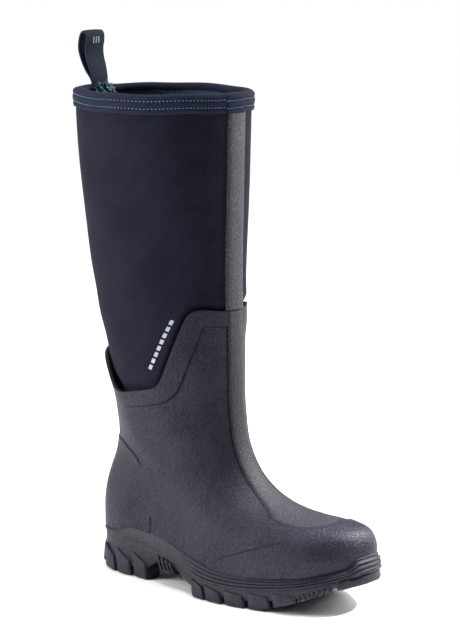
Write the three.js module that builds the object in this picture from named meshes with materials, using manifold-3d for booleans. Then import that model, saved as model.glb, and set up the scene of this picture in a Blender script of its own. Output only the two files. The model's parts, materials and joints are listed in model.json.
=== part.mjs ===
// Tall yard boot, right foot: a moulded rubber shell and lugged sole under a knee-high neoprene shaft.
// Millimetres, +Z up, toe towards -Y, outer side of the leg towards -X. The sole stands on z = 0.
import * as THREE from 'three';
import { mergeVertices } from 'three/addons/utils/BufferGeometryUtils.js';
import Module from 'manifold-3d';

const wasm = await Module();
wasm.setup();

// ---- driving dimensions -------------------------------------------------------------------------
const SOLE_HALF_LENGTH = 143;     // outsole from its middle to the toe or the heel
const SOLE_HALF_WIDTH = 50;       // one unit of the foot outline across the ball
const CUFF_HEIGHT = 424;          // top edge of the shaft
const NEOPRENE = 5;               // foam with its knitted faces
const RUBBER = 2.2;               // shell wall
const OVERLAY = 1.3;              // raised mouldings on the shell
const LINING = 1;                 // spacer mesh
const TAPE = 0.9;                 // seam tape
const STRIP = 2;                  // shin strip
const GAP = 0.3;                  // clearance between pieces that touch
const OVERLAY_GAP = 0.5;          // the same under a piece laid on a curved face
const LAYER_GAP = 1;              // the same between whole layers of the upper
const COLUMN = 10;                // degrees from one column of facets to the next
const FOOT_ROWS = 12;             // rows of facets from the sole up to the tuck inside the rubber
const SEAM = 0.25;                // degrees left open each side of a butt seam
const STRIP_HALF_WIDTH = 11.5;    // shin strip on the shaft
const INSTEP_HALF_WIDTH = 8;      // the same strip where it runs over the rubber
const COLLAR_BAND = 13;           // band moulded along the top of the rubber
const BINDING_HEIGHT = 17;        // cuff binding on the outside
const BINDING_SWELL = 2.4;        // how far the binding stands off the shaft
const WEBBING_WIDTH = 23;
const WEBBING = 1.6;
const FOOTBED = 5;
const SHANK_LENGTH = 105;
const RIDGES = 3;                 // moulded lines round the side of the sole

// ---- tables that shape the boot -----------------------------------------------------------------
// Foot outline, evenly spaced round the foot from the toe tip by the outer side:
// share of the length from the toe, half widths from the centre line (outer side negative).
const FOOT_OUTLINE = [
  [0.004, 0.16], [0.030, -0.34], [0.105, -0.70], [0.190, -0.89], [0.275, -1.00], [0.360, -1.08],
  [0.445, -1.11], [0.530, -1.04], [0.615, -0.90], [0.700, -0.80], [0.785, -0.75], [0.870, -0.71],
  [0.945, -0.54], [0.990, -0.27], [1.000, 0.00], [0.990, 0.28], [0.945, 0.54], [0.870, 0.69],
  [0.785, 0.70], [0.700, 0.67], [0.615, 0.68], [0.530, 0.75], [0.445, 0.86], [0.360, 0.94],
  [0.275, 1.00], [0.190, 0.98], [0.105, 0.88], [0.035, 0.62],
];
// Rings of the upper from the sole to the cuff:
// front y, front z, back y, back z, half width, how far the outline has turned into an oval.
const RINGS = [
  [-137, 42, 142, 47, 45.5, 0.00],
  [-140, 55, 142, 62, 45.5, 0.00],
  [-135, 67, 140, 76, 44.5, 0.10],
  [-120, 73, 136, 90, 42.5, 0.30],
  [-96, 73, 131, 104, 41.0, 0.55],
  [-70, 75, 128, 118, 40.0, 0.78],
  [-47, 82, 127, 132, 39.5, 0.94],
  [-26, 96, 127, 146, 39.5, 1.00],
  [-10, 119, 127, 160, 41.0, 1.00],
  [-3, 150, 130, 180, 43.5, 1.00],
  [-1, 190, 135, 205, 47.5, 1.00],
  [0, 230, 142, 240, 52.0, 1.00],
  [1, 275, 150, 282, 57.0, 1.00],
  [0, 330, 157, 335, 62.0, 1.00],
  [-2, CUFF_HEIGHT, 162, CUFF_HEIGHT, 67.0, 1.00],
];
// Heights along the sole, by the share of the length from the toe.
const FEATHER = [[0, 42], [0.1, 33], [0.25, 26], [0.42, 25], [0.55, 31], [0.7, 40], [0.85, 45], [1, 46]];
const WELT = [[0, 36], [0.1, 27], [0.25, 18], [0.42, 15], [0.55, 19], [0.7, 28], [0.85, 33], [1, 34]];
const TREAD = [[0, 29], [0.05, 25], [0.16, 14], [0.28, 8], [0.5, 7.5], [0.545, 10], [0.6, 17], [0.66, 20],
  [0.7, 19], [0.735, 12], [0.8, 9], [0.95, 9], [1, 12]];
const GROUND = [[0, 26], [0.04, 23], [0.09, 18], [0.16, 10], [0.22, 4], [0.27, 0], [0.96, 0], [1, 5]];
// Top edge of the rubber round the leg, from the shin by the outer side to the back, in degrees.
const COLLAR = [[0, 243], [36, 244], [44, 239], [50, 231], [61, 207], [73, 181], [82, 173], [105, 167],
  [125, 171], [145, 181], [165, 193], [180, 197]];
// Lower edge of the toe overlay's border, from the toe centre to the sole, in degrees and height share.
const TOE_EDGE = [[0, 0.118], [27, 0.096], [51, 0.055], [66, 0.032], [78, 0.008]];

// ---- small maths --------------------------------------------------------------------------------
const TAU = Math.PI * 2;
const rad = (degrees) => degrees * Math.PI / 180;
const clamp = (x, lo = 0, hi = 1) => Math.min(hi, Math.max(lo, x));
const lerp = (a, b, t) => a + (b - a) * t;
const smooth = (lo, hi, x) => { const t = clamp((x - lo) / (hi - lo)); return t * t * (3 - 2 * t); };

// A cubic through rows of numbers at the places xs, with slopes from their neighbours.
function spline(xs, rows, closed = false) {
  const n = xs.length;
  const width = rows[0].length;
  const step = xs.slice(1).map((x, i) => x - xs[i]);
  const rise = step.map((h, i) => rows[i].map((y, k) => (rows[i + 1][k] - y) / h));
  const mid = (a, b) => rows[0].map((_, k) =>
    (rise[a][k] * step[b] + rise[b][k] * step[a]) / (step[a] + step[b]));
  const slope = rows.map((_, i) => (i === 0 || i === n - 1 ? null : mid(i - 1, i)));
  slope[0] = closed ? mid(n - 2, 0) : rise[0].map((r, k) => 1.5 * r - 0.5 * slope[1][k]);
  slope[n - 1] = closed ? slope[0] : rise[n - 2].map((r, k) => 1.5 * r - 0.5 * slope[n - 2][k]);
  return (x) => {
    let i = 0;
    while (i < n - 2 && x >= xs[i + 1]) i += 1;
    const h = step[i];
    const t = (x - xs[i]) / h;
    return Array.from({ length: width }, (_, k) =>
      rows[i][k] * (1 + 2 * t) * (1 - t) ** 2 + rows[i + 1][k] * t * t * (3 - 2 * t)
      + slope[i][k] * h * t * (1 - t) ** 2 - slope[i + 1][k] * h * t * t * (1 - t));
  };
}
const table = (pairs) => {
  const curve = spline(pairs.map((p) => p[0]), pairs.map((p) => [p[1]]));
  const last = pairs.at(-1)[0];
  return (x) => curve(clamp(x, pairs[0][0], last))[0];
};

// ---- the last: the skin that every piece of the upper is laid on --------------------------------
const outlineAt = spline(
  Array.from({ length: FOOT_OUTLINE.length + 1 }, (_, i) => i / FOOT_OUTLINE.length),
  [...FOOT_OUTLINE, FOOT_OUTLINE[0]], true);
const ringPlaces = RINGS.reduce((places, ring, i) => {
  if (i === 0) return [0];
  const before = RINGS[i - 1];
  const front = Math.hypot(ring[0] - before[0], ring[1] - before[1]);
  const back = Math.hypot(ring[2] - before[2], ring[3] - before[3]);
  return [...places, places[i - 1] + front + back / 2];
}, [0]);
const ringAt = spline(ringPlaces.map((p) => p / ringPlaces.at(-1)), RINGS);
const feather = table(FEATHER);
const welt = table(WELT);
const tread = table(TREAD);
const ground = table(GROUND);
const collarTable = table(COLLAR);
const toeEdgeTable = table(TOE_EDGE);

// Angles run from the front (0) by the outer side (90 degrees) to the back and on by the inner side.
const fold = (angle) => { const a = ((angle % TAU) + TAU) % TAU; return a > Math.PI ? TAU - a : a; };
const collarHeight = (angle) => collarTable(fold(angle) * 180 / Math.PI);

function footPoint(angle) {
  const [t, x] = outlineAt((((angle % TAU) + TAU) % TAU) / TAU);
  return { t, x };
}

const lengthwise = (t) => (2 * t - 1) * SOLE_HALF_LENGTH;
const shareAt = (y) => clamp(y / (2 * SOLE_HALF_LENGTH) + 0.5);

// The sole's outline, moved in by an inset along its normal.
function outlineXY(angle, inset = 0) {
  const at = (a) => {
    const { t, x } = footPoint(a);
    return new THREE.Vector2(x * SOLE_HALF_WIDTH, lengthwise(t));
  };
  const along = at(angle + 0.01).sub(at(angle - 0.01)).normalize();
  return at(angle).add(new THREE.Vector2(along.y, -along.x).multiplyScalar(inset));
}

// Where the inset outline crosses y on one side of the foot: 1 outer, -1 inner.
function edgeAt(y, side, inset = 0) {
  let lo = 0;
  let hi = Math.PI;
  for (let i = 0; i < 30; i += 1) {
    const mid = (lo + hi) / 2;
    if (outlineXY(side * mid, inset).y < y) lo = mid; else hi = mid;
  }
  return outlineXY(side * lo, inset).x;
}

function lastPoint(angle, v) {
  const [frontY, frontZ, backY, backZ, half, turned] = ringAt(clamp(v));
  const foot = footPoint(angle);
  const t = lerp(foot.t, (1 - Math.cos(angle)) / 2, turned);
  const x = lerp(foot.x, -Math.sin(angle), turned);
  const flat = lerp(RINGS[0][1], RINGS[0][3], t);
  const sag = (feather(clamp(t)) - flat) * clamp(1 - v / 0.45) ** 1.5;
  return new THREE.Vector3(x * half, lerp(frontY, backY, t), lerp(frontZ, backZ, t) + sag);
}

// A point off the last along its normal: positive is outwards.
function skin(angle, v, offset) {
  const across = lastPoint(angle + 0.006, v).sub(lastPoint(angle - 0.006, v));
  const along = lastPoint(angle, v + 0.002).sub(lastPoint(angle, v - 0.002));
  const normal = along.cross(across).normalize();
  return lastPoint(angle, v).addScaledVector(normal, offset);
}

// The share v at which the last reaches a height at this angle.
function atHeight(angle, z) {
  let lo = 0;
  let hi = 1;
  for (let i = 0; i < 22; i += 1) {
    const mid = (lo + hi) / 2;
    if (lastPoint(angle, mid).z < z) lo = mid; else hi = mid;
  }
  return (lo + hi) / 2;
}

// ---- closed solids from grids of points ---------------------------------------------------------
function geometryFrom(points, faces) {
  const geometry = new THREE.BufferGeometry();
  geometry.setAttribute('position', new THREE.Float32BufferAttribute(points.flatMap((p) => p.toArray()), 3));
  geometry.setIndex(faces.flat());
  return geometry;
}

// Rings of points joined in order. Each ring has the same count; a closed sweep joins last to first,
// and an open one is closed by a fan of faces on its first and last ring.
function sweep(rings, { sweepClosed = false } = {}) {
  const count = rings[0].length;
  const points = rings.flat();
  const faces = [];
  const at = (i, j) => (i % rings.length) * count + (j % count);
  const rows = sweepClosed ? rings.length : rings.length - 1;
  for (let i = 0; i < rows; i += 1) {
    for (let j = 0; j < count; j += 1) {
      faces.push([at(i, j), at(i + 1, j), at(i + 1, j + 1)], [at(i, j), at(i + 1, j + 1), at(i, j + 1)]);
    }
  }
  if (!sweepClosed) {
    for (let j = 1; j < count - 1; j += 1) {
      faces.push([at(0, 0), at(0, j), at(0, j + 1)]);
      faces.push([at(rings.length - 1, 0), at(rings.length - 1, j + 1), at(rings.length - 1, j)]);
    }
  }
  return facingOut(geometryFrom(points, faces));
}

function signedVolume(geometry) {
  const p = geometry.attributes.position;
  const index = geometry.index.array;
  const [a, b, c] = [new THREE.Vector3(), new THREE.Vector3(), new THREE.Vector3()];
  let volume = 0;
  for (let i = 0; i < index.length; i += 3) {
    a.fromBufferAttribute(p, index[i]);
    b.fromBufferAttribute(p, index[i + 1]);
    c.fromBufferAttribute(p, index[i + 2]);
    volume += a.dot(b.cross(c)) / 6;
  }
  return volume;
}

function facingOut(geometry) {
  if (signedVolume(geometry) < 0) {
    const index = geometry.index.array;
    for (let i = 0; i < index.length; i += 3) [index[i], index[i + 1]] = [index[i + 1], index[i]];
  }
  return geometry;
}

// Rows for a piece on the last, as shares v at one angle: evenly spaced, or several stretches joined.
const valueAt = (f, ...place) => (typeof f === 'function' ? f(...place) : f);
const evenly = (from, to, rows) => (angle) =>
  Array.from({ length: rows + 1 }, (_, j) => lerp(valueAt(from, angle), valueAt(to, angle), j / rows));
const joined = (...stretches) => (angle) => stretches.flatMap((stretch) => stretch(angle));

// A piece of the upper between two offsets from the last. A full turn makes a tube, anything less a
// panel with closed sides. Columns stand on the same angles on every piece, so layers stay parallel.
function laidOn({ start = 0, end = 360, rows, outer, inner, columns = Math.round((end - start) / COLUMN) }) {
  const whole = end - start === 360;
  const section = (degrees) => {
    const angle = rad(degrees);
    const side = (offset, places) => places.map((v) => skin(angle, v, valueAt(offset, angle, v)));
    const places = rows(angle);
    return [...side(outer, places), ...side(inner, places.toReversed())];
  };
  const count = whole ? columns : columns + 1;
  const rings = Array.from({ length: count }, (_, i) => section(lerp(start, end, i / columns)));
  return whole ? sweep(rings, { sweepClosed: true }) : capped(rings);
}

// Rings that are sections of a thin strip. The two end sections are closed as ladders, face to face.
function capped(rings) {
  const count = rings[0].length;
  const points = rings.flat();
  const faces = [];
  const at = (i, j) => i * count + (j % count);
  for (let i = 0; i < rings.length - 1; i += 1) {
    for (let j = 0; j < count; j += 1) {
      faces.push([at(i, j), at(i + 1, j), at(i + 1, j + 1)], [at(i, j), at(i + 1, j + 1), at(i, j + 1)]);
    }
  }
  const ladder = (i, flip) => {
    for (let j = 0; j < count / 2 - 1; j += 1) {
      const [a, b, c, d] = [at(i, j), at(i, j + 1), at(i, count - 2 - j), at(i, count - 1 - j)];
      faces.push(...(flip ? [[a, c, b], [a, d, c]] : [[a, b, c], [a, c, d]]));
    }
  };
  ladder(0, false);
  ladder(rings.length - 1, true);
  return facingOut(geometryFrom(points, faces));
}

// A slab between two heights that follow the length. edge(y, side) gives its outline: side is 1 on the
// outer side of the foot and -1 on the inner side. Stations crowd towards the round ends.
function slab({ from, to, edge, top, bottom, stations = 26 }) {
  return sweep(Array.from({ length: stations }, (_, i) => {
    const y = lerp(from, to, (1 - Math.cos(Math.PI * (i + 0.5) / stations)) / 2);
    const [outer, inner] = [edge(y, 1), edge(y, -1)];
    const [high, low] = [top(shareAt(y)), bottom(shareAt(y))];
    const corners = [[outer, high], [inner, high], [inner, low], [outer, low]];
    return corners.map(([x, z]) => new THREE.Vector3(x, y, z));
  }));
}

// The same inside the sole's outline, moved in by an inset.
const soleSlab = (inset, top, bottom, stations) => slab({
  from: outlineXY(0, inset).y, to: outlineXY(Math.PI, inset).y,
  edge: (y, side) => edgeAt(y, side, inset), top, bottom, stations,
});

// ---- joins and cuts -----------------------------------------------------------------------------
function toSolid(geometry) {
  const bare = mergeVertices(geometry);
  return new wasm.Manifold(new wasm.Mesh({
    numProp: 3,
    vertProperties: new Float32Array(bare.attributes.position.array),
    triVerts: new Uint32Array(bare.index.array),
  }));
}

function toGeometry(solid) {
  const mesh = solid.getMesh();
  const geometry = new THREE.BufferGeometry();
  geometry.setAttribute('position', new THREE.BufferAttribute(new Float32Array(mesh.vertProperties), 3));
  geometry.setIndex(Array.from(mesh.triVerts));
  return geometry;
}

// ---- upper --------------------------------------------------------------------------------------
const aboveFeather = (up) => (angle) => atHeight(angle, lastPoint(angle, 0).z + up);
const fromCollar = (up) => (angle) => atHeight(angle, collarHeight(angle) + up);
const belowTop = (down) => (angle) => atHeight(angle, CUFF_HEIGHT - down);
const later = (place, by) => (angle) => place(angle) + by;

// The neoprene runs level with the rubber's face above the collar and steps in behind it below.
const NEOPRENE_STEP = RUBBER + LAYER_GAP;
const neopreneFace = (angle, v) => {
  const above = lastPoint(angle, v).z - collarHeight(angle);
  return -NEOPRENE_STEP * (1 - smooth(1, 9, above));
};
const neopreneBack = (angle, v) => neopreneFace(angle, v) - NEOPRENE;
const liningFace = (angle, v) => neopreneBack(angle, v) - LAYER_GAP;
const TUCK = 25;                  // how far the shaft reaches down inside the rubber
const SHAFT_TOP = belowTop(0.5);

function rubberShell() {
  return laidOn({
    rows: joined(evenly(aboveFeather(0), fromCollar(-TUCK), FOOT_ROWS),
      evenly(fromCollar(-TUCK / 2), fromCollar(0), 1)),
    outer: 0, inner: -RUBBER,
  });
}

function collarBand() {
  return laidOn({
    rows: evenly(fromCollar(-COLLAR_BAND), fromCollar(-0.6), 2),
    outer: OVERLAY_GAP + OVERLAY, inner: OVERLAY_GAP,
  });
}

// A strip down the front: its half width varies with the place v along the last.
function frontStrip({ from, to, halfWidthAt, outer, inner, rows, columns = 4 }) {
  const places = Array.from({ length: rows + 1 }, (_, j) => lerp(from, to, j / rows));
  const angleAt = (v, x) => -Math.asin(clamp(x / ringAt(v)[4], -1, 1));
  return capped(Array.from({ length: columns + 1 }, (_, i) => {
    const across = 2 * i / columns - 1;
    const run = (offset, list) => list.map((v) => skin(angleAt(v, -halfWidthAt(v) * across), v, offset));
    return [...run(outer, places), ...run(inner, places.toReversed())];
  }));
}

function instepStrip() {
  return frontStrip({
    from: 0.135, to: fromCollar(-COLLAR_BAND - 1)(0), rows: 16,
    halfWidthAt: (v) => lerp(20, INSTEP_HALF_WIDTH, smooth(0.12, 0.36, v)),
    outer: LAYER_GAP + OVERLAY + GAP, inner: LAYER_GAP + GAP,
  });
}

function shinStrip() {
  return frontStrip({
    from: fromCollar(3)(0), to: belowTop(BINDING_HEIGHT + 1)(0), rows: 10,
    halfWidthAt: () => STRIP_HALF_WIDTH, outer: OVERLAY_GAP + STRIP, inner: OVERLAY_GAP,
  });
}

function toeCap() {
  const top = (a) => Math.max(aboveFeather(2)(a), toeEdgeTable(fold(a) * 180 / Math.PI));
  return laidOn({
    start: -80, end: 80, rows: evenly(aboveFeather(0.4), top, 5),
    outer: OVERLAY_GAP + OVERLAY, inner: OVERLAY_GAP,
  });
}

function heelCounter() {
  const reach = 50;
  const edge = (a) => lerp(116, 46, (Math.abs(a - Math.PI) / rad(reach)) ** 3);
  const top = (a) => Math.max(aboveFeather(2)(a), atHeight(a, edge(a)));
  return laidOn({
    start: 180 - reach, end: 180 + reach, rows: evenly(aboveFeather(0.4), top, 4),
    outer: LAYER_GAP + OVERLAY, inner: LAYER_GAP,
  });
}

function shaftPanel(start, end) {
  return laidOn({
    start: start + SEAM, end: end - SEAM, columns: 180 / COLUMN, outer: neopreneFace, inner: neopreneBack,
    rows: joined(evenly(fromCollar(-TUCK), fromCollar(-0.5), 2), evenly(fromCollar(2), fromCollar(9), 2),
      evenly(fromCollar(32), SHAFT_TOP, 5)),
  });
}

function neopreneFoot() {
  return laidOn({
    rows: evenly(aboveFeather(0.6), later(fromCollar(-TUCK), -0.003), FOOT_ROWS),
    outer: -NEOPRENE_STEP, inner: -NEOPRENE_STEP - NEOPRENE,
  });
}

function meshLining() {
  return laidOn({
    rows: joined(evenly(aboveFeather(1), fromCollar(-TUCK), FOOT_ROWS),
      evenly(fromCollar(0), fromCollar(9), 1), evenly(fromCollar(40), belowTop(2), 3)),
    outer: liningFace, inner: (a, v) => liningFace(a, v) - LINING,
  });
}

function tape(halfAngle, rows, outer) {
  return laidOn({
    start: 180 - halfAngle, end: 180 + halfAngle, columns: 2, rows,
    outer, inner: (a, v) => outer(a, v) - TAPE,
  });
}
const liningSeamTape = () => tape(7, evenly(fromCollar(40), belowTop(20), 5),
  (a, v) => liningFace(a, v) - LINING - LAYER_GAP);
const backSeamTape = () => tape(7.5, evenly(fromCollar(10), belowTop(BINDING_HEIGHT + 1), 5),
  (a, v) => neopreneFace(a, v) + OVERLAY_GAP + TAPE);

// ---- cuff ---------------------------------------------------------------------------------------
// Binding section: distance out from the shaft's face, height from the shaft's top edge.
const THREAD_ROWS = [-8.6, -14.5];
const BINDING_SECTION = [
  [GAP, -BINDING_HEIGHT], [1.9, -BINDING_HEIGHT + 0.2], [BINDING_SWELL, -15.4], [1.3, THREAD_ROWS[1]],
  [BINDING_SWELL, -13.4], [BINDING_SWELL, -9.6], [1.3, THREAD_ROWS[0]], [BINDING_SWELL, -7.4],
  [BINDING_SWELL, -2], [1, 2.2], [-3.6, 3.2], [-8, 2], [-9.4, -2], [-9.2, -11], [-7.5, -11.4],
  [-7.4, 0.4], [GAP, 0.4],
];

function ringOf(section, columns = 360 / COLUMN) {
  const rings = Array.from({ length: columns }, (_, i) => {
    const angle = i / columns * TAU;
    return section.map(([out, up]) => {
      const v = atHeight(angle, CUFF_HEIGHT + Math.min(0, up));
      return skin(angle, v, out).setZ(CUFF_HEIGHT + up);
    });
  });
  return sweep(rings, { sweepClosed: true });
}
const cuffBinding = () => ringOf(BINDING_SECTION);
const THREAD = 0.8;
const threadRing = (up) => ringOf([[1.9, up], [1.9 + THREAD, up - 0.35], [1.9 + THREAD, up + 0.35]]);

// ---- pull loop ----------------------------------------------------------------------------------
const LOOP_BASE = { y: 153, z: CUFF_HEIGHT + 5.6 };
// Centre line of the webbing, y and z from its root: up the front leg, over the top, down the rear leg.
const LOOP_LINE = [
  [0, 0], [0.8, 5.5], [3, 13], [6, 22], [6.6, 30], [5.4, 36], [5.6, 42], [8.4, 45], [12.4, 43.4],
  [15, 37], [15.6, 29], [12.8, 20], [8.2, 11], [3.8, 4.4], [2, 0],
];

function pullLoop() {
  const curve = new THREE.CatmullRomCurve3(LOOP_LINE.map(([y, z]) =>
    new THREE.Vector3(0, LOOP_BASE.y + y, LOOP_BASE.z + z)));
  const steps = 28;
  const half = WEBBING_WIDTH / 2;
  return sweep(Array.from({ length: steps + 1 }, (_, i) => {
    const p = curve.getPointAt(i / steps);
    const t = curve.getTangentAt(i / steps);
    const n = new THREE.Vector3(0, -t.z, t.y).multiplyScalar(WEBBING / 2);
    return [[-half, 1], [half, 1], [half, -1], [-half, -1]].map(([x, side]) =>
      new THREE.Vector3(x, p.y + n.y * side, p.z + n.z * side));
  }));
}

// The webbing's tails, sewn down on the inner face of the binding, up to just under the loop's root.
const TAIL_FACE = -10;
function loopTail() {
  const columns = 4;
  const half = WEBBING_WIDTH / 2;
  const face = (out) => (x, z) => {
    const v = atHeight(Math.PI, z);
    return skin(Math.PI + Math.asin(x / ringAt(v)[4]), v, out).setZ(z);
  };
  const heights = [5, 0, -6, -16].map((up) => CUFF_HEIGHT + up);
  const rings = Array.from({ length: columns + 1 }, (_, i) => {
    const x = lerp(-half, half, i / columns);
    const run = (out, list) => list.map((z) => face(out)(x, z));
    return [...run(TAIL_FACE, heights), ...run(TAIL_FACE - WEBBING, heights.toReversed())];
  });
  return capped(rings);
}

function loopBartack() {
  const z = CUFF_HEIGHT - 6;
  const box = new THREE.BoxGeometry(WEBBING_WIDTH - 6, THREAD, 3);
  box.translate(0, skin(Math.PI, atHeight(Math.PI, z), TAIL_FACE - WEBBING - 1.8).y, z);
  return stripped(box);
}

function stripped(geometry) {
  geometry.deleteAttribute('normal');
  geometry.deleteAttribute('uv');
  return mergeVertices(geometry);
}

// ---- sole ---------------------------------------------------------------------------------------
const RAND_WALL = 6;
// Lugs round the edge: share of the length at the middle, share taken, and how far in they reach.
const EDGE_LUGS = [
  [0.055, 0.042, 26], [0.115, 0.052, 24], [0.19, 0.062, 19], [0.27, 0.064, 18], [0.352, 0.062, 18],
  [0.428, 0.054, 18], [0.492, 0.046, 18], [0.768, 0.052, 16], [0.84, 0.056, 16], [0.915, 0.05, 16],
];
const CENTRE_LUGS = [0.15, 0.23, 0.31, 0.39, 0.46, 0.8, 0.875];
const LUG_SET_IN = 1.2;
const SHANK_RIBS = [0.59, 0.62, 0.65, 0.68];

// A block standing on the ground line, with its head buried in the tread plate. It narrows to its foot.
function block(corners, draft = 0.86) {
  const centre = new THREE.Vector2();
  corners.forEach(([x, y]) => centre.add(new THREE.Vector2(x, y).divideScalar(corners.length)));
  const level = (height, k) => corners.map(([x, y]) =>
    new THREE.Vector3(lerp(centre.x, x, k), lerp(centre.y, y, k), height(shareAt(y))));
  return sweep([level(footOf, draft), level((t) => footOf(t) + 1.6, 1), level((t) => tread(t) + 2.5, 1)]);
}
const footOf = (t) => Math.max(0, ground(t));

function edgeLug([t, share, reach], side) {
  const [a, b] = [t - share / 2, t + share / 2];
  const outer = (s) => edgeAt(lengthwise(s), side, LUG_SET_IN);
  const inner = (s) => { const x = outer(s); return x + side * Math.min(reach, Math.abs(x) - 4); };
  const slant = 0.008;
  return block([[outer(a), lengthwise(a)], [outer(b), lengthwise(b)],
    [inner(b), lengthwise(b - slant)], [inner(a), lengthwise(a + slant)]]);
}

function centreLug(t) {
  const [w, l] = [8, 6];
  const y = lengthwise(t);
  const x = (edgeAt(y, 1) + edgeAt(y, -1)) / 2;
  const pentagon = [[-w, -l * 0.3], [0, -l], [w, -l * 0.3], [w * 0.6, l], [-w * 0.6, l]];
  return block(pentagon.map(([dx, dy]) => [x + dx, y + dy]));
}

function shankRib(t) {
  const y = lengthwise(t);
  const [l, r] = [edgeAt(y, 1, 3), edgeAt(y, -1, 3)];
  const box = new THREE.BoxGeometry(r - l, 3, 3);
  box.translate((l + r) / 2, y, tread(t) - 0.2);
  return stripped(box);
}

function outsole() {
  let solid = toSolid(soleSlab(0, (t) => welt(t) - GAP, tread, 40));
  const add = (geometry) => { solid = solid.add(toSolid(geometry)); };
  for (const row of EDGE_LUGS) [1, -1].forEach((side) => add(edgeLug(row, side)));
  CENTRE_LUGS.forEach((t) => add(centreLug(t)));
  SHANK_RIBS.forEach((t) => add(shankRib(t)));
  return toGeometry(solid);
}

// Band round the side of the sole, from the outsole up to the edge of the upper, with moulded ridges.
function rand() {
  const columns = 40;
  return sweep(Array.from({ length: columns }, (_, i) => {
    const angle = i / columns * TAU;
    const share = clamp(footPoint(angle).t);
    const low = welt(share) + GAP;
    const high = feather(share) - 1;
    const at = (inset, z) => { const p = outlineXY(angle, inset); return new THREE.Vector3(p.x, p.y, z); };
    const side = [at(0.6, low)];
    for (let k = 0; k < RIDGES; k += 1) {
      side.push(at(0.2, lerp(low, high, (k + 0.3) / RIDGES)), at(1.4, lerp(low, high, (k + 0.9) / RIDGES)));
    }
    return [...side, at(2.4, high), at(RAND_WALL, high), at(RAND_WALL, low)];
  }), { sweepClosed: true });
}

const MIDSOLE_DROP = 5.8;
const midsole = () => soleSlab(RAND_WALL + 0.5,
  (t) => Math.max(feather(t) - MIDSOLE_DROP, welt(t) + 1.4), (t) => welt(t) + GAP);

// A flat layer inside the foot, counted upwards from the feather line.
const raised = (up) => (t) => feather(t) + up;
const layer = (low, thick, inset) => soleSlab(inset, raised(low + thick), raised(low));
const lastingBoard = () => layer(-2.9, 2, RAND_WALL + 2.5);
const FOOTBED_INSET = 16.5;
const FOOTBED_LOW = 1;
const footbedFoam = () => layer(FOOTBED_LOW, FOOTBED, FOOTBED_INSET);
const footbedCover = () => layer(FOOTBED_LOW + FOOTBED + GAP, 1.2, FOOTBED_INSET);

// An oval slab, for what lies along the middle of the sole.
const ovalSlab = (middle, halfWidth, halfLength, top, bottom) => slab({
  from: middle - halfLength, to: middle + halfLength, top, bottom, stations: 12,
  edge: (y, side) => -side * halfWidth * Math.sqrt(Math.max(0, 1 - ((y - middle) / halfLength) ** 2)),
});
const shankPlate = () => ovalSlab(38, 12, SHANK_LENGTH / 2, raised(-3.3), raised(-MIDSOLE_DROP + 0.6));
const heelCushion = () => ovalSlab(94, 17, 25, raised(FOOTBED_LOW - 0.4), raised(-0.5));

// ---- the boot -----------------------------------------------------------------------------------
const finish = (color, roughness, metalness = 0) => ({ color, roughness, metalness });
const SHELL_RUBBER = finish(0x4a4a52, 0.62);
const SOLE_RUBBER = finish(0x40414a, 0.6);
const NEOPRENE_KNIT = finish(0x2a2b3c, 0.95);
const SPECKLED_STRIP = finish(0x6b6c72, 0.85);
const BINDING_CLOTH = finish(0x2a3045, 0.9);
const LINING_MESH = finish(0x1e2a3e, 0.95);
const THREAD_BLUE = finish(0x4f6f8f, 0.7);
const FOAM = finish(0x8f96a3, 0.95);
const BOARD = finish(0x8a7f70, 0.9);
const STEEL = finish(0x9a9da1, 0.35, 1);

const PIECES = [
  ['outsole', outsole, SOLE_RUBBER], ['midsole', midsole, SOLE_RUBBER], ['rand', rand, SOLE_RUBBER],
  ['rubber_shell', rubberShell, SHELL_RUBBER], ['toe_cap', toeCap, SHELL_RUBBER],
  ['heel_counter', heelCounter, SHELL_RUBBER], ['instep_strip', instepStrip, SHELL_RUBBER],
  ['collar_band', collarBand, SHELL_RUBBER],
  ['shaft_panel_outer', () => shaftPanel(0, 180), NEOPRENE_KNIT],
  ['shaft_panel_inner', () => shaftPanel(180, 360), NEOPRENE_KNIT],
  ['neoprene_foot', neopreneFoot, NEOPRENE_KNIT], ['mesh_lining', meshLining, LINING_MESH],
  ['lining_seam_tape', liningSeamTape, BINDING_CLOTH], ['back_seam_tape', backSeamTape, BINDING_CLOTH],
  ['shin_strip', shinStrip, SPECKLED_STRIP], ['cuff_binding', cuffBinding, BINDING_CLOTH],
  ['cuff_thread_upper', () => threadRing(THREAD_ROWS[0]), THREAD_BLUE],
  ['cuff_thread_lower', () => threadRing(THREAD_ROWS[1]), THREAD_BLUE],
  ['pull_loop', pullLoop, BINDING_CLOTH], ['loop_tail', loopTail, BINDING_CLOTH],
  ['loop_bartack', loopBartack, THREAD_BLUE], ['lasting_board', lastingBoard, BOARD],
  ['shank_plate', shankPlate, STEEL], ['footbed_foam', footbedFoam, FOAM],
  ['footbed_cover', footbedCover, LINING_MESH], ['heel_cushion', heelCushion, FOAM],
];

const boot = new THREE.Group();
for (const [name, make, look] of PIECES) {
  const mesh = new THREE.Mesh(make(), new THREE.MeshStandardMaterial(look));
  mesh.name = name;
  boot.add(mesh);
}
// The origin is under the middle of the whole boot.
const box = new THREE.Box3().setFromObject(boot);
boot.position.set(-(box.min.x + box.max.x) / 2, -(box.min.y + box.max.y) / 2, 0);

export default boot;
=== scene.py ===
# %% [markdown]
# # A tall yard boot of neoprene and rubber
# The boot is a right boot, seen from its outer side. A moulded rubber foot stands on a lugged sole. A
# knee-high neoprene shaft rises out of it, and a bound cuff with a webbing pull loop finishes the top. The
# frame holds every piece as a plain solid. This lesson makes the surfaces that are seen: it lays each piece
# on the shoemaker's last, gives it its thickness and edges, and then its finish.

import json
import math

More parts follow.
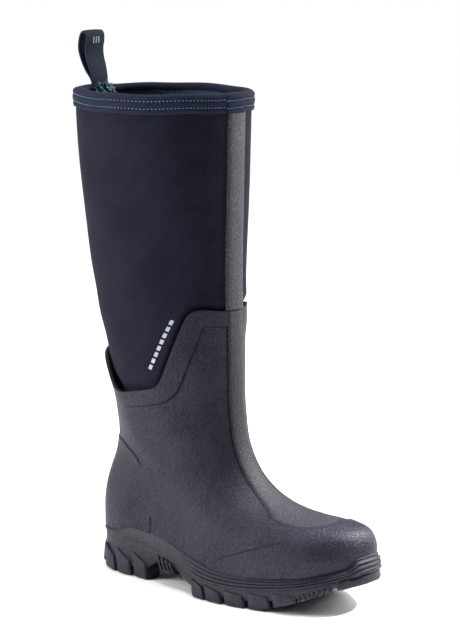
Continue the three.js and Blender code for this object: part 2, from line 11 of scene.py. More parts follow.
import bpy
import numpy as np
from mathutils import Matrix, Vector


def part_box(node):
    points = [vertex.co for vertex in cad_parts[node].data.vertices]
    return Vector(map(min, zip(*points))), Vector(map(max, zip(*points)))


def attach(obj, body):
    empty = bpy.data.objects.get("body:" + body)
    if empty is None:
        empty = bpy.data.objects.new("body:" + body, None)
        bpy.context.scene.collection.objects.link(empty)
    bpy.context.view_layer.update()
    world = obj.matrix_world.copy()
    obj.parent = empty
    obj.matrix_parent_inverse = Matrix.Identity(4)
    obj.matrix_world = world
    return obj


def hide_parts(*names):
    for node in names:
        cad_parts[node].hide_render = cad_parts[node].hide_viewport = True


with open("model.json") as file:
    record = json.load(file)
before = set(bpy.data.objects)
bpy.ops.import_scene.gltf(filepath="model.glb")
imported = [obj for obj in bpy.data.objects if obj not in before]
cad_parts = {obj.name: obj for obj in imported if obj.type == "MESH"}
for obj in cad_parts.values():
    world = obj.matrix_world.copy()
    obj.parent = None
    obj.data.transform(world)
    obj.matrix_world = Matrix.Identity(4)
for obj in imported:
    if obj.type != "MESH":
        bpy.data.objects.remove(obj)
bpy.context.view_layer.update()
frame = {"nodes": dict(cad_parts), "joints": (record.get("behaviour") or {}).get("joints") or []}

# %% [markdown]
# ## Sizes
# A boot maker works in millimetres, so the sizes are in millimetres and one factor turns them into
# Blender's metres. The sole is centred on its own middle. The frame stands the whole boot over the middle
# of its box, so everything moves by the distance between the two, which the pull loop's hinge gives away.

# %% Driving dimensions
MM = 0.001
CUFF_HEIGHT = 424
SOLE_HALF_LENGTH = 143
SOLE_HALF_WIDTH = 50
NEOPRENE = 5
RUBBER = 2.2
RAISED = 1.0  # height of the band and of the toe and heel overlays above the shell
COLLAR_BAND = 13  # width of the raised band under the collar
STRIP_HALF_WIDTH = 11.5
LOOP_ROOT = (153, CUFF_HEIGHT + 5.6)  # y and z of the pull loop's hinge
WEBBING = 1.6
WEBBING_WIDTH = 23
hinge = next(j for j in frame["joints"] if j["name"] == "pull_loop_fold")
FORWARD = hinge["pos_m"][1] / MM - LOOP_ROOT[0]
print("the sole's middle stands", round(FORWARD, 1), "mm from the frame's origin")

# %% [markdown]
# ## The last
# A last is the foot-shaped form that a boot is built round. Here it is two outlines and a few rings. The
# foot's outline gives the lower rings their shape, an oval gives the leg its shape, and each ring says how
# far one has turned into the other. A cubic through the rings fills in the rest, so that any piece can be
# laid on the last by an angle round the leg and a share of the way up.

# %% The last's outlines and rings
# Foot outline, evenly spaced from the toe tip by the outer side: share of the length, half widths.
FOOT_OUTLINE = [
    (0.004, 0.16), (0.030, -0.34), (0.105, -0.70), (0.190, -0.89), (0.275, -1.00), (0.360, -1.08),
    (0.445, -1.11), (0.530, -1.04), (0.615, -0.90), (0.700, -0.80), (0.785, -0.75), (0.870, -0.71),
    (0.945, -0.54), (0.990, -0.27), (1.000, 0.00), (0.990, 0.28), (0.945, 0.54), (0.870, 0.69),
    (0.785, 0.70), (0.700, 0.67), (0.615, 0.68), (0.530, 0.75), (0.445, 0.86), (0.360, 0.94),
    (0.275, 1.00), (0.190, 0.98), (0.105, 0.88), (0.035, 0.62),
]
# Rings: front y and z, back y and z, half width, share turned into an oval.
RINGS = [
    (-137, 42, 142, 47, 45.5, 0.00), (-140, 55, 142, 62, 45.5, 0.00), (-135, 67, 140, 76, 44.5, 0.10),
    (-120, 73, 136, 90, 42.5, 0.30), (-96, 73, 131, 104, 41.0, 0.55), (-70, 75, 128, 118, 40.0, 0.78),
    (-47, 82, 127, 132, 39.5, 0.94), (-26, 96, 127, 146, 39.5, 1.00), (-10, 119, 127, 160, 41.0, 1.00),
    (-3, 150, 130, 180, 43.5, 1.00), (-1, 190, 135, 205, 47.5, 1.00), (0, 230, 142, 240, 52.0, 1.00),
    (1, 275, 150, 282, 57.0, 1.00), (0, 330, 157, 335, 62.0, 1.00),
    (-2, CUFF_HEIGHT, 162, CUFF_HEIGHT, 67.0, 1.00),
]
# Heights by share of the length from the toe: edge of the upper, top of the outsole, tread, ground line.
FEATHER = [(0, 42), (0.1, 33), (0.25, 26), (0.42, 25), (0.55, 31), (0.7, 40), (0.85, 45), (1, 46)]
WELT = [(0, 36), (0.1, 27), (0.25, 18), (0.42, 15), (0.55, 19), (0.7, 28), (0.85, 33), (1, 34)]
TREAD = [(0, 29), (0.05, 25), (0.16, 14), (0.28, 8), (0.5, 7.5), (0.545, 10), (0.6, 17), (0.66, 20),
         (0.7, 19), (0.735, 12), (0.8, 9), (0.95, 9), (1, 12)]
GROUND = [(0, 26), (0.04, 23), (0.09, 18), (0.16, 10), (0.22, 4), (0.27, 0), (0.96, 0), (1, 5)]
# The rubber's top edge round the leg, in degrees from the shin by the outer side to the back.
COLLAR = [(0, 242.5), (20, 243.5), (37, 244.5), (42, 243), (46, 239.5), (50, 233), (57, 218),
          (63, 205), (70, 190),
          (75, 180), (80, 175.5), (90, 172), (104, 169), (119, 167), (125, 168.5), (133, 174), (141, 184),
          (150, 192), (165, 198), (180, 200)]


# %% Cubics through rows of numbers
def spline(places, rows, closed=False):
    """A cubic through rows at the given places. The slope at each row comes from its neighbours."""
    x = np.array(places, float)
    y = np.array(rows, float).reshape(len(x), -1)
    step = np.diff(x)[:, None]
    rise = np.diff(y, axis=0) / step
    slope = np.zeros_like(y)
    slope[1:-1] = (rise[:-1] * step[1:] + rise[1:] * step[:-1]) / (step[:-1] + step[1:])
    slope[0] = 1.5 * rise[0] - 0.5 * slope[1]
    slope[-1] = 1.5 * rise[-1] - 0.5 * slope[-2]
    if closed:
        slope[0] = slope[-1] = (rise[-1] * step[0] + rise[0] * step[-1]) / (step[0] + step[-1])

    def at(place):
        place = np.clip(np.asarray(place, float), x[0], x[-1])
        i = np.clip(np.searchsorted(x, place, side="right") - 1, 0, len(x) - 2)
        h = step[i]
        t = (place - x[i])[..., None] / h
        return (y[i] * (1 + 2 * t) * (1 - t) ** 2 + y[i + 1] * t * t * (3 - 2 * t)
                + slope[i] * h * t * (1 - t) ** 2 - slope[i + 1] * h * t * t * (1 - t))

    return at


def table(pairs):
    curve = spline([p[0] for p in pairs], [p[1] for p in pairs])
    return lambda place: curve(place)[..., 0]


def smooth(low, high, x):
    t = np.clip((np.asarray(x, float) - low) / (high - low), 0, 1)
    return t * t * (3 - 2 * t)


feather, welt, tread, ground_line = table(FEATHER), table(WELT), table(TREAD), table(GROUND)
collar_table = table(COLLAR)


# %% Points on the last
TAU = 2 * math.pi
outline_at = spline(np.linspace(0, 1, len(FOOT_OUTLINE) + 1), FOOT_OUTLINE + FOOT_OUTLINE[:1], True)
rings = np.array(RINGS, float)
front_run = np.hypot(np.diff(rings[:, 0]), np.diff(rings[:, 1]))
back_run = np.hypot(np.diff(rings[:, 2]), np.diff(rings[:, 3]))
ring_place = np.concatenate([[0], np.cumsum(front_run + back_run / 2)])
ring_at = spline(ring_place / ring_place[-1], rings)


def foot_point(angle):
    at = outline_at(np.mod(angle, TAU) / TAU)
    return at[..., 0], at[..., 1]


def last_point(angle, v):
    """A point on the last in millimetres, by the angle from the shin and the share of the way up."""
    angle, v = np.broadcast_arrays(np.asarray(angle, float), np.asarray(v, float))
    front_y, front_z, back_y, back_z, half, turned = np.moveaxis(ring_at(np.clip(v, 0, 1)), -1, 0)
    share, x = foot_point(angle)
    share = share + ((1 - np.cos(angle)) / 2 - share) * turned
    x = x + (-np.sin(angle) - x) * turned
    flat = RINGS[0][1] + (RINGS[0][3] - RINGS[0][1]) * share
    sag = (feather(share) - flat) * np.clip(1 - v / 0.45, 0, 1) ** 1.5
    y = front_y + (back_y - front_y) * share
    return np.stack([x * half, y, front_z + (back_z - front_z) * share + sag], -1)


def last_normal(angle, v):
    across = last_point(angle + 0.006, v) - last_point(angle - 0.006, v)
    along = last_point(angle, v + 0.002) - last_point(angle, v - 0.002)
    normal = np.cross(along, across)
    return normal / np.linalg.norm(normal, axis=-1, keepdims=True)


def skin(angle, v, offset=0.0):
    """A point off the last along its normal, in millimetres: positive is outwards."""
    offset = np.asarray(offset, float)[..., None]
    return last_point(angle, v) + last_normal(angle, v) * offset


def at_height(angle, z):
    """The share v at which the last reaches height z at this angle."""
    angle, z = np.broadcast_arrays(np.asarray(angle, float), np.asarray(z, float))
    low, high = np.zeros_like(z), np.ones_like(z)
    for _ in range(22):
        mid = (low + high) / 2
        below = last_point(angle, mid)[..., 2] < z
        low, high = np.where(below, mid, low), np.where(below, high, mid)
    return (low + high) / 2


def degrees_round(angle):
    """Degrees from the shin to the back, the same on both sides of the leg."""
    turn = np.degrees(np.mod(angle, TAU))
    return np.where(turn > 180, 360 - turn, turn)


def collar_height(angle):
    return collar_table(degrees_round(angle))


def share_of(y):
    """The share of the sole's length from the toe, for a place y from its middle."""
    return np.clip((y / SOLE_HALF_LENGTH + 1) / 2, 0, 1)


cuff_ring = last_point(np.linspace(0, TAU, 90), 1.0)
print("last: calf", round(float(np.ptp(cuff_ring[:, 0]))), "mm wide at the cuff")

# %% [markdown]
# ## Cutting and laying a piece
# Real uppers are cut flat and pulled over the last. A grid primitive is that flat cut: its two directions
# run along and across the piece, and one function says where each corner lands. Joining the doubled corners
# closes a tube, Solidify gives the wall its thickness and Bevel rounds the cut edges.


# %% Helpers for laying and finishing
def deselect():
    if bpy.context.object and bpy.context.object.mode != "OBJECT":
        bpy.ops.object.mode_set(mode="OBJECT")
    bpy.ops.object.select_all(action="DESELECT")


def only(piece):
    deselect()
    piece.select_set(True)
    bpy.context.view_layer.objects.active = piece


def turn_over(piece):
    """Turns every face of a piece the other way."""
    only(piece)
    bpy.ops.object.mode_set(mode="EDIT")
    bpy.ops.mesh.select_all(action="SELECT")
    bpy.ops.mesh.flip_normals()
    bpy.ops.object.mode_set(mode="OBJECT")


def joined(pieces, name):
    """Joins the pieces into the first one, which takes the name."""
    only(pieces[0])
    for piece in pieces:
        piece.select_set(True)
    bpy.ops.object.join()
    pieces[0].name = pieces[0].data.name = name
    return pieces[0]


def copied(pattern):
    """A copy of a pattern piece with a mesh of its own."""
    copy = pattern.copy()
    copy.data = pattern.data.copy()
    bpy.context.collection.objects.link(copy)
    return copy


def coordinates(mesh):
    co = np.empty(len(mesh.vertices) * 3)
    mesh.vertices.foreach_get("co", co)
    return co.reshape(-1, 3)


def move_corners(piece, points_mm):
    """Puts every corner at its place, given in millimetres about the sole's middle."""
    placed = (points_mm + np.array([0, FORWARD, 0])) * MM
    piece.data.vertices.foreach_set("co", np.ascontiguousarray(placed, float).ravel())
    piece.data.update()


def laid(name, columns, rows, place, seam=False, flip=False):
    """A flat grid laid over a form. place(s, t) takes shares across and along, and gives millimetres.

    A seam joins the doubled corners into a tube. flip turns a strip laid round the leg to face out.
    """
    deselect()
    bpy.ops.mesh.primitive_grid_add(x_subdivisions=columns, y_subdivisions=rows, size=2, location=(0, 0, 0))
    piece = bpy.context.object
    piece.name = piece.data.name = name
    flat = coordinates(piece.data)
    move_corners(piece, place((flat[:, 0] + 1) / 2, (flat[:, 1] + 1) / 2))
    if seam:
        bpy.ops.object.mode_set(mode="EDIT")
        bpy.ops.mesh.select_all(action="SELECT")
        bpy.ops.mesh.remove_doubles(threshold=0.00001)
        bpy.ops.mesh.normals_make_consistent(inside=False)
        bpy.ops.object.mode_set(mode="OBJECT")
    if flip:
        turn_over(piece)
    return piece


def apply_modifier(piece, kind, **settings):
    only(piece)
    modifier = piece.modifiers.new(kind.lower(), kind)
    for key, value in settings.items():
        setattr(modifier, key, value)
    bpy.ops.object.modifier_apply(modifier=modifier.name)


def thicken(piece, thickness, edge=0.0, segments=2):
    """Gives the wall its thickness inwards and rounds the cut edges."""
    apply_modifier(piece, "SOLIDIFY", thickness=thickness * MM, offset=-1, use_even_offset=False)
    if edge:
        apply_modifier(piece, "BEVEL", width=edge * MM, segments=segments, limit_method="ANGLE",
                       angle_limit=math.radians(50))
    smooth_shade(piece)


def smooth_shade(piece, angle=60):
    only(piece)
    bpy.ops.object.shade_smooth_by_angle(angle=math.radians(angle))


def outward(piece):
    """Turns a piece's faces out if its shell was laid inside out."""
    co = coordinates(piece.data)
    piece.data.calc_loop_triangles()
    tri = np.array([t.vertices[:] for t in piece.data.loop_triangles])
    a, b, c = co[tri[:, 0]], co[tri[:, 1]], co[tri[:, 2]]
    if np.einsum("ij,ij->i", a, np.cross(b, c)).sum() < 0:
        turn_over(piece)


def finished(piece, body, slot, *nodes, look=None):
    """Says which body a piece moves with, which finish it takes and which plain solids it stands for."""
    outward(piece)
    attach(piece, body)
    if nodes:
        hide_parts(*nodes)
    piece.data.materials.clear()
    piece.data.materials.append(FINISHES[look or slot])
    print(piece.name, len(piece.data.polygons), "faces")
    return piece

# %% [markdown]
# ## Reckoning in shader nodes
# A finish is a short sum: a grain here, a weave there. The class below wraps a node's socket, so that the
# sums can be written as Python sums and the nodes come out behind them. Any other node is added by its one
# method.

# %% Shader sums
FINISHES = {}


class Value:
    """A node socket to reckon with. Without a socket it is the start of a node tree."""

    def __init__(self, tree, socket=None):
        self.tree, self.socket = tree, socket

    def node(self, kind, settings=None, inputs=None, output=0):
        made = self.tree.nodes.new(kind)
        for key, value in (settings or {}).items():
            setattr(made, key, value)
        for key, value in (inputs or {}).items():
            if isinstance(value, Value):
                self.tree.links.new(value.socket, made.inputs[key])
            else:
                made.inputs[key].default_value = value
        return Value(self.tree, made.outputs[output])

    def maths(self, operation, first, second=0.0):
        return self.node("ShaderNodeMath", {"operation": operation}, {0: first, 1: second})

    def __add__(self, other):
        return self.maths("ADD", self, other)

    def __sub__(self, other):
        return self.maths("SUBTRACT", self, other)

    def __rsub__(self, other):
        return self.maths("SUBTRACT", other, self)

    def __mul__(self, other):
        return self.maths("MULTIPLY", self, other)

    __radd__ = __add__
    __rmul__ = __mul__

    def sine(self):
        return self.maths("SINE", self)

    def step(self, low, high):
        """0 below low, 1 above high, and smooth between."""
        return self.node("ShaderNodeMapRange", {"interpolation_type": "SMOOTHSTEP"},
                         {0: self, 1: low, 2: high})

    def noise(self, where, size, detail=3.0, roughness=0.55):
        """Noise whose lumps are about the given size, in the units of where."""
        return self.node("ShaderNodeTexNoise", None,
                         {"Vector": where, "Scale": 1 / size, "Detail": detail, "Roughness": roughness})

    def blend(self, share, first, second):
        return self.node("ShaderNodeMix", {"data_type": "RGBA"}, {0: share, 6: first, 7: second}, output=2)

    def parts(self):
        return [self.node("ShaderNodeSeparateXYZ", None, {0: self}, output=i) for i in range(3)]


def shade(red, green, blue):
    """A screen colour, 0 to 255, as the linear colour that the shader reads."""
    linear = [((c / 255 + 0.055) / 1.055) ** 2.4 if c > 10 else c / 255 / 12.92 for c in (red, green, blue)]
    return (*linear, 1.0)


def start_finish(name, **constants):
    """A new material with its constant sockets set. Gives the start of its tree and its shader node."""
    material = bpy.data.materials.new(name)
    material.use_nodes = True
    shader = material.node_tree.nodes["Principled BSDF"]
    for socket, value in constants.items():
        shader.inputs[socket.replace("_", " ")].default_value = value
    FINISHES[name] = material
    return Value(material.node_tree), shader


def end_finish(start, shader, colour, roughness, height, depth):
    """Joins a colour, a roughness and a height in millimetres to the shader."""
    normal = start.node("ShaderNodeBump", None, {"Strength": 1.0, "Distance": depth * MM, "Height": height})
    for socket, value in (("Base Color", colour), ("Roughness", roughness), ("Normal", normal)):
        start.tree.links.new(value.socket, shader.inputs[socket])


# %% [markdown]
# ## Moulded rubber
# The foot and the sole are rubber from a mould with a fine leather-like grain. The grain is cut into the
# mould, so it lies over the whole surface at one scale. Two noises make it: a coarse one for the pebbles
# and a finer one for the skin between them. Handling polishes the high spots a little, so the roughness
# follows the same noise.


# %% Rubber finishes
def rubber_finish(name, low, high, roughness, grain, depth):
    start, shader = start_finish(name, Specular_IOR_Level=0.17)
    place = start.node("ShaderNodeTexCoord", output=3)
    pebble = start.noise(place, grain * MM, 2.0)
    skin_grain = start.noise(place, grain * 0.35 * MM, 2.0)
    cloud = start.noise(place, 38 * MM, 2.0)
    tone = cloud.step(0.3, 0.7) * 0.45 + pebble.step(0.35, 0.65) * 0.55
    height = pebble * 0.75 + skin_grain * 0.25
    rough = roughness + (0.5 - pebble) * 0.22 + (cloud - 0.5) * 0.08
    end_finish(start, shader, start.blend(tone, shade(*low), shade(*high)), rough, height, depth)


rubber_finish("shell_rubber", (16, 15, 26), (40, 38, 51), 0.49, 2.1, 1.0)
rubber_finish("sole_rubber", (24, 23, 33), (40, 39, 49), 0.46, 2.4, 0.5)
# parting_shadow is near-black rubber: painted shadow for the dark lines along the raised layers' edges and
# beside the shin tape.
rubber_finish("parting_shadow", (5, 5, 9), (12, 12, 17), 0.7, 1.5, 0.1)
print("rubber finishes:", list(FINISHES))

# %% [markdown]
# ## Cloth finishes
# The shaft is neoprene foam faced with a fine jersey, the cuff is bound with a ribbed tape, the loop is
# webbing, and the lining is a mesh with slanting pale-blue ribs. All four are threads in a pattern, so one
# function makes them: it reads the piece's own flat cut in millimetres, which keeps the threads straight
# along the cloth however it bends.


# %% Woven and knitted finishes
FLECK = 0.4  # how much of a cloth's tone comes from loose fuzz


def cloth_finish(name, low, high, across, along, depth=0.12, roughness=0.85, sheen=0.02):
    """A cloth of ribs. across and along are the rib spacings in millimetres."""
    start, shader = start_finish(name, Sheen_Weight=sheen, Sheen_Roughness=0.4, Specular_IOR_Level=0.08)
    where = start.node("ShaderNodeTexCoord", output=2)
    u, v, _ = where.parts()
    ribs = (u * (TAU / across)).sine() * 0.5 + 0.5
    rows = (v * (TAU / along) + ribs * 1.6).sine() * 0.5 + 0.5
    fuzz = start.noise(where, max(across, along) * 1.1, 3.0)
    cloud = start.noise(where, 30.0, 3.0)
    height = ribs * 0.45 + rows * 0.35 + fuzz * 0.2
    tone = ribs * rows * (1 - FLECK) * 0.6 + fuzz.step(0.4, 0.75) * FLECK + cloud.step(0.3, 0.7) * 0.25
    rough = roughness + (fuzz - 0.5) * 0.15
    end_finish(start, shader, start.blend(tone, shade(*low), shade(*high)), rough, height, depth)


cloth_finish("neoprene_knit", (14, 13, 25), (35, 34, 49), 1.1, 0.9, depth=0.1)
cloth_finish("binding_cloth", (22, 25, 38), (40, 44, 62), 1.3, 2.2, depth=0.16)
cloth_finish("loop_webbing", (22, 27, 40), (42, 49, 66), 1.5, 2.4, depth=0.3, roughness=0.75)
cloth_finish("thread_blue", (78, 104, 132), (132, 162, 190), 0.5, 0.8, depth=0.1, roughness=0.6)
cloth_finish("plain_mark", (150, 153, 162), (186, 189, 197), 0.9, 0.9, depth=0.05, roughness=0.6, sheen=0.0)


def mesh_finish(name, hole, thread, pitch, depth):
    """Open mesh: slanting rows of pale loops with dark holes between them."""
    start, shader = start_finish(name, Specular_IOR_Level=0.15)
    where = start.node("ShaderNodeTexCoord", output=2)
    u, v, _ = where.parts()
    slanted = ((u + v) * (TAU / pitch)).sine() * 0.5 + 0.5
    loops = ((v - u * 0.6) * (TAU / (pitch * 0.8))).sine() * 0.5 + 0.5
    fuzz = start.noise(where, pitch, 2.0)
    height = slanted * 0.6 + loops * 0.4
    tone = slanted.step(0.45, 0.85) * (loops * 0.75 + 0.25) * (fuzz + 0.5)
    colour = start.blend(tone, shade(*hole), shade(*thread))
    end_finish(start, shader, colour, 0.8 - tone * 0.2, height, depth)


mesh_finish("lining_mesh", (8, 9, 14), (122, 164, 196), 2.6, 0.8)

# %% [markdown]
# ## The speckled strip
# The strip down the shin is a coarse reflective tape: pale flecks in a grey film. A fine noise pushed to
# light and dark gives the flecks, and it also lifts the surface, so that the tape sparkles a little under a
# light.


# %% Speckled strip, board, steel and foam
def speckled_finish(name, low, middle, high, size, depth=0.25, metal=0.0, roughness=0.6, shine=0.45):
    start, shader = start_finish(name, Metallic=metal, Specular_IOR_Level=shine)
    place = start.node("ShaderNodeTexCoord", output=3)
    fleck = start.noise(place, size * MM, 1.0, 0.7)
    patch = start.noise(place, size * 9 * MM, 2.0)
    body = start.blend(fleck.step(0.32, 0.5), shade(*low), shade(*middle))
    colour = start.blend(fleck.step(0.5, 0.72), body, shade(*high))
    end_finish(start, shader, colour, roughness + (0.5 - fleck) * 0.3 + (patch - 0.5) * 0.1, fleck, depth)


speckled_finish("speckled_strip", (22, 21, 30), (36, 35, 44), (60, 59, 68), 1.5)
speckled_finish("rib_rubber", (17, 16, 25), (29, 28, 37),
(50, 49, 59), 1.4, 0.6, roughness=0.57, shine=0.32)
speckled_finish("board", (122, 100, 74), (146, 122, 92), (166, 142, 110), 1.2, roughness=0.85)
speckled_finish("steel", (120, 122, 126), (150, 152, 156), (176, 178, 182), 0.8, 0.05, 1.0, 0.35)
speckled_finish("foam", (58, 60, 66), (84, 86, 93), (108, 110, 118), 0.9, 0.4, roughness=0.9)
print("finishes:", len(FINISHES))

# %% [markdown]
# ## The rubber foot
# The rubber foot is one moulding, from the sole's edge up to a scooped collar: high at the shin, low at the
# ankle. It is laid as a tube, with one column of faces for each small angle round the foot. The rubber
# stands off the neoprene in the ankle scoop, because the collar is stiffer than the cloth inside it, so its
# top flares out there.


# %% Rubber shell
def flare(angle, v):
    """How far the collar stands off the neoprene in the scoop, in millimetres."""
    turn = degrees_round(angle)
    above = last_point(angle, v)[..., 2] - collar_height(angle)
    lift = 2.8 * smooth(-80, -25, above) + 1.4 * smooth(-16, 0, above)
    return lift * smooth(86, 124, turn)


def drawn_down(points, t):
    """The lowest edge goes down behind the rand, most of all at the heel, where the rand is low."""
    drop = 1.5 + 8 * smooth(0.78, 0.92, share_of(points[..., 1]))
    points[..., 2] -= drop * (1 - smooth(0, 0.12, t))
    return points


def hand_wave(angle, v):
    """The slight unevenness of rubber drawn off a last."""
    return 0.22 * np.sin(3 * angle + 9 * v) + 0.16 * np.sin(7 * angle - 23 * v + 1)


def shell_face(angle, v):
    dip = 1.3 * np.exp(-((v - 0.13) / 0.06) ** 2) * (1 - smooth(10, 50, degrees_round(angle)))
    return flare(angle, v) + hand_wave(angle, v) - dip


def collar_place(angle, below=0.0):
    return at_height(angle, collar_height(angle) - below)


def shell_place(s, t):
    angle = s * TAU
    v = collar_place(angle) * t
    return drawn_down(skin(angle, v, shell_face(angle, v)), t)


shell = laid("rubber_foot", 264, 110, shell_place, seam=True)
thicken(shell, RUBBER, edge=0.5)
finished(shell, "boot", "shell_rubber", "rubber_shell")

# %% [markdown]
# ## Collar band
# A raised band, as wide as a finger, borders the collar. Its lower edge keeps the same distance from the
# collar all the way round, like a line drawn with a compass that rolls along the edge. That is how it is
# found here: the lowest point reached by a circle of the band's width rolled along the collar.

# %% Collar band
LEG_RADIUS = 46
trace = np.linspace(-0.2, TAU + 0.2, 900)
trace_height = collar_height(trace)


def below_collar(angle, distance=COLLAR_BAND):
    """The height of a line that keeps this distance below the collar's edge."""
    along = (np.asarray(angle)[..., None] - trace) * LEG_RADIUS
    inside = np.abs(along) < distance
    drop = np.sqrt(np.clip(distance ** 2 - along ** 2, 0, None))
    return np.where(inside, trace_height - drop, 999).min(axis=-1)


def band_place(s, t):
    angle = s * TAU
    low = at_height(angle, below_collar(angle))
    v = low + (collar_place(angle, 0.2) - low) * t
    fade = smooth(128, 158, degrees_round(angle)) * (1 - t)
    return skin(angle, v, shell_face(angle, v) + RAISED * (1 - 1.3 * fade))


band = laid("collar_band_raised", 288, 10, band_place, seam=True)
thicken(band, RAISED + 0.6, edge=0.18)
finished(band, "boot", "shell_rubber", "collar_band")

# %% [markdown]
# ## Strip down the instep
# The strip that starts on the shin runs on down the instep under the rubber, where it shows as a raised rib
# that widens towards the toe. It is laid by its distance from the middle line, domed across, with its two
# sides turned down into the shell.


# %% Instep rib and shin strip
def front_angle(v, x):
    return -np.arcsin(np.clip(x / ring_at(v)[..., 4], -1, 1))


def instep_half_width(v):
    y = last_point(np.zeros_like(v), v)[..., 1]
    return np.interp(y, [-100, -90, -76, -55, -35, -15, -4], [18, 20.5, 20.5, 15.6, 12, 10.2, 9.4])


def rib_place(s, t):
    top = collar_place(0.0, 0.5)
    v = 0.118 + (top - 0.118) * t
    across = 2 * s - 1
    angle = front_angle(v, across * instep_half_width(v))
    rise = (1.9 - 0.9 * (1 - smooth(0.05, 0.4, t))) * (1 - np.abs(across) ** 18) * smooth(0, 0.05, t)
    return skin(angle, v, shell_face(angle, v) + rise - 0.35)


rib = laid("instep_rib", 22, 110, rib_place)
thicken(rib, 1.4, edge=0.3)
finished(rib, "boot", "shell_rubber", "instep_strip", look="rib_rubber")


def shin_place(s, t):
    low, high = collar_place(0.0, -0.8), at_height(0.0, CUFF_HEIGHT - 11.5)
    v = low + (high - low) * t
    across = 2 * s - 1
    angle = front_angle(v, across * STRIP_HALF_WIDTH)
    return skin(angle, v, 0.5 + 1.5 * (1 - np.abs(across) ** 10))


shin = laid("shin_tape", 16, 70, shin_place)
thicken(shin, 1.9, edge=0.3)
finished(shin, "boot", "speckled_strip", "shin_strip")

# %% [markdown]
# ## Toe and heel overlays
# The mould has an extra layer over the toes and round the heel, where a boot wears. Each is a thin patch
# with a rounded edge, laid on the shell from the sole's edge up to the patch's own top line.

# %% Toe and heel overlays
toe_line = table([(0, 0.118), (21, 0.1), (32, 0.08), (43, 0.065), (53, 0.053), (62, 0.042),
                  (70, 0.029), (80, 0.003)])
heel_line = table([(120, 90), (123, 101), (135, 114), (160, 119), (180, 119.5)])


def toe_place(s, t):
    angle = np.radians(-79 + 158 * s)
    v = 0.002 + (toe_line(degrees_round(angle)) - 0.002) * t
    return skin(angle, v, shell_face(angle, v) + RAISED)


def heel_place(s, t):
    angle = np.radians(121 + 118 * s)
    v = 0.002 + (at_height(angle, heel_line(degrees_round(angle))) - 0.002) * t
    z = last_point(angle, v)[..., 2]
    sunk = smooth(0.36, 0.47, np.abs(s - 0.5)) * smooth(54, 60, z) * (1 - smooth(94, 104, z))
    return drawn_down(skin(angle, v, shell_face(angle, v) + RAISED * (0.7 - 1.3 * sunk)), t * 2)


toe = laid("toe_overlay", 120, 30, toe_place, flip=True)
thicken(toe, RAISED + 0.5, edge=0.18)
finished(toe, "boot", "shell_rubber", "toe_cap")
heel = laid("heel_overlay", 90, 34, heel_place, flip=True)
thicken(heel, RAISED + 0.4, edge=0.18)
finished(heel, "boot", "shell_rubber", "heel_counter")

# %% [markdown]
# ## Painted shadow at the parting lines
# Where one layer of the moulding ends, the mould leaves a thin, sharp step, and the step's shadow is a dark
# line. A step that thin would need very small faces all over the shell, so the shadow is painted: each line
# is a narrow near-black strip of its own, laid at the foot of the layer's edge.


# %% Painted shadow along the parting lines
LINE = 1.0
strips = []


def shadow_line_strip(low_edge, high_edge, face):
    """A strip of painted shadow between two edges: each edge takes a share along and gives an angle and a
    place up the last.
    """

    def place(s, t):
        low_angle, low_v = low_edge(t)
        high_angle, high_v = high_edge(t)
        angle, v = low_angle + (high_angle - low_angle) * s, low_v + (high_v - low_v) * s
        return skin(angle, v, face(angle, v) + 0.07)

    strip = laid("line", 3, 160, place)
    centre = strip.data.polygons[len(strip.data.polygons) // 2]
    if centre.normal.x * centre.center.x + centre.normal.y * (centre.center.y - 0.03) < 0:
        turn_over(strip)
    thicken(strip, 0.3)
    strips.append(strip)


def band_line(side, distance):
    def edge(t):
        angle = side * np.radians(6 + 124 * t)
        return angle, at_height(angle, below_collar(angle % TAU, distance))

    return edge


def toe_edge_line(side, extra):
    return lambda t: (side * np.radians(20 + 57 * t), toe_line(20 + 57 * t) + extra)


def heel_edge_line(side, extra):
    def edge(t):
        turn = 124 + 40 * t
        angle = side * np.radians(turn)
        return angle, at_height(angle, heel_line(turn) + extra)

    return edge


def rib_line(side, extra):
    def edge(t):
        v = 0.15 + (collar_place(0.0, COLLAR_BAND) - 0.15) * t
        return front_angle(v, side * (instep_half_width(v) + extra)), v

    return edge


def shin_line(side, extra):
    def edge(t):
        low, high = collar_place(0.0, -0.8), at_height(0.0, CUFF_HEIGHT - 12.5)
        v = low + (high - low) * t
        return front_angle(v, side * (STRIP_HALF_WIDTH + extra)), v

    return edge


for side in (-1, 1):
    shadow_line_strip(band_line(side, COLLAR_BAND + LINE), band_line(side, COLLAR_BAND - 0.2), shell_face)
    shadow_line_strip(toe_edge_line(side, 0.0), toe_edge_line(side, 0.0016), shell_face)
    shadow_line_strip(heel_edge_line(side, 0.0), heel_edge_line(side, 0.4 * LINE), shell_face)
    shadow_line_strip(rib_line(side, -0.2), rib_line(side, LINE), shell_face)
# The joined strips take the near-black parting_shadow finish: painted shadow along the steps of the moulding.
finished(joined(strips, "parting_line_shadows"), "boot", "shell_rubber", look="parting_shadow")

# %% [markdown]
# ## The neoprene shaft
# Two panels of five-millimetre neoprene are sewn edge to edge at the shin and at the back. Neoprene is a
# foam, so it stands by itself and holds long, shallow waves. Each panel is a flat cut wrapped half round
# the leg. It steps in behind the rubber at the collar, because it runs down inside the foot.


# %% Shaft panels
NEOPRENE_STEP = 3.2
SHAFT_TUCK = 24
SHAFT_TOP = CUFF_HEIGHT - 0.5


def cloth_wave(angle, z):
    """Long shallow waves of standing neoprene, in millimetres."""
    ankle = 0.55 * np.sin(z / 9 + 1.3 * np.sin(angle)) * np.exp(-((z - 232) / 30) ** 2)
    return ankle + 0.5 * np.sin(2 * angle + z / 41) * np.sin(z / 63 + 0.8) + 0.3 * np.sin(5 * angle - z / 23)


def neoprene_face(angle, v):
    z = last_point(angle, v)[..., 2]
    seam = np.exp(-((degrees_round(angle) - 180) / 2.6) ** 2)
    return cloth_wave(angle, z) - NEOPRENE_STEP * (1 - smooth(1, 9, z - collar_height(angle))) - 0.8 * seam


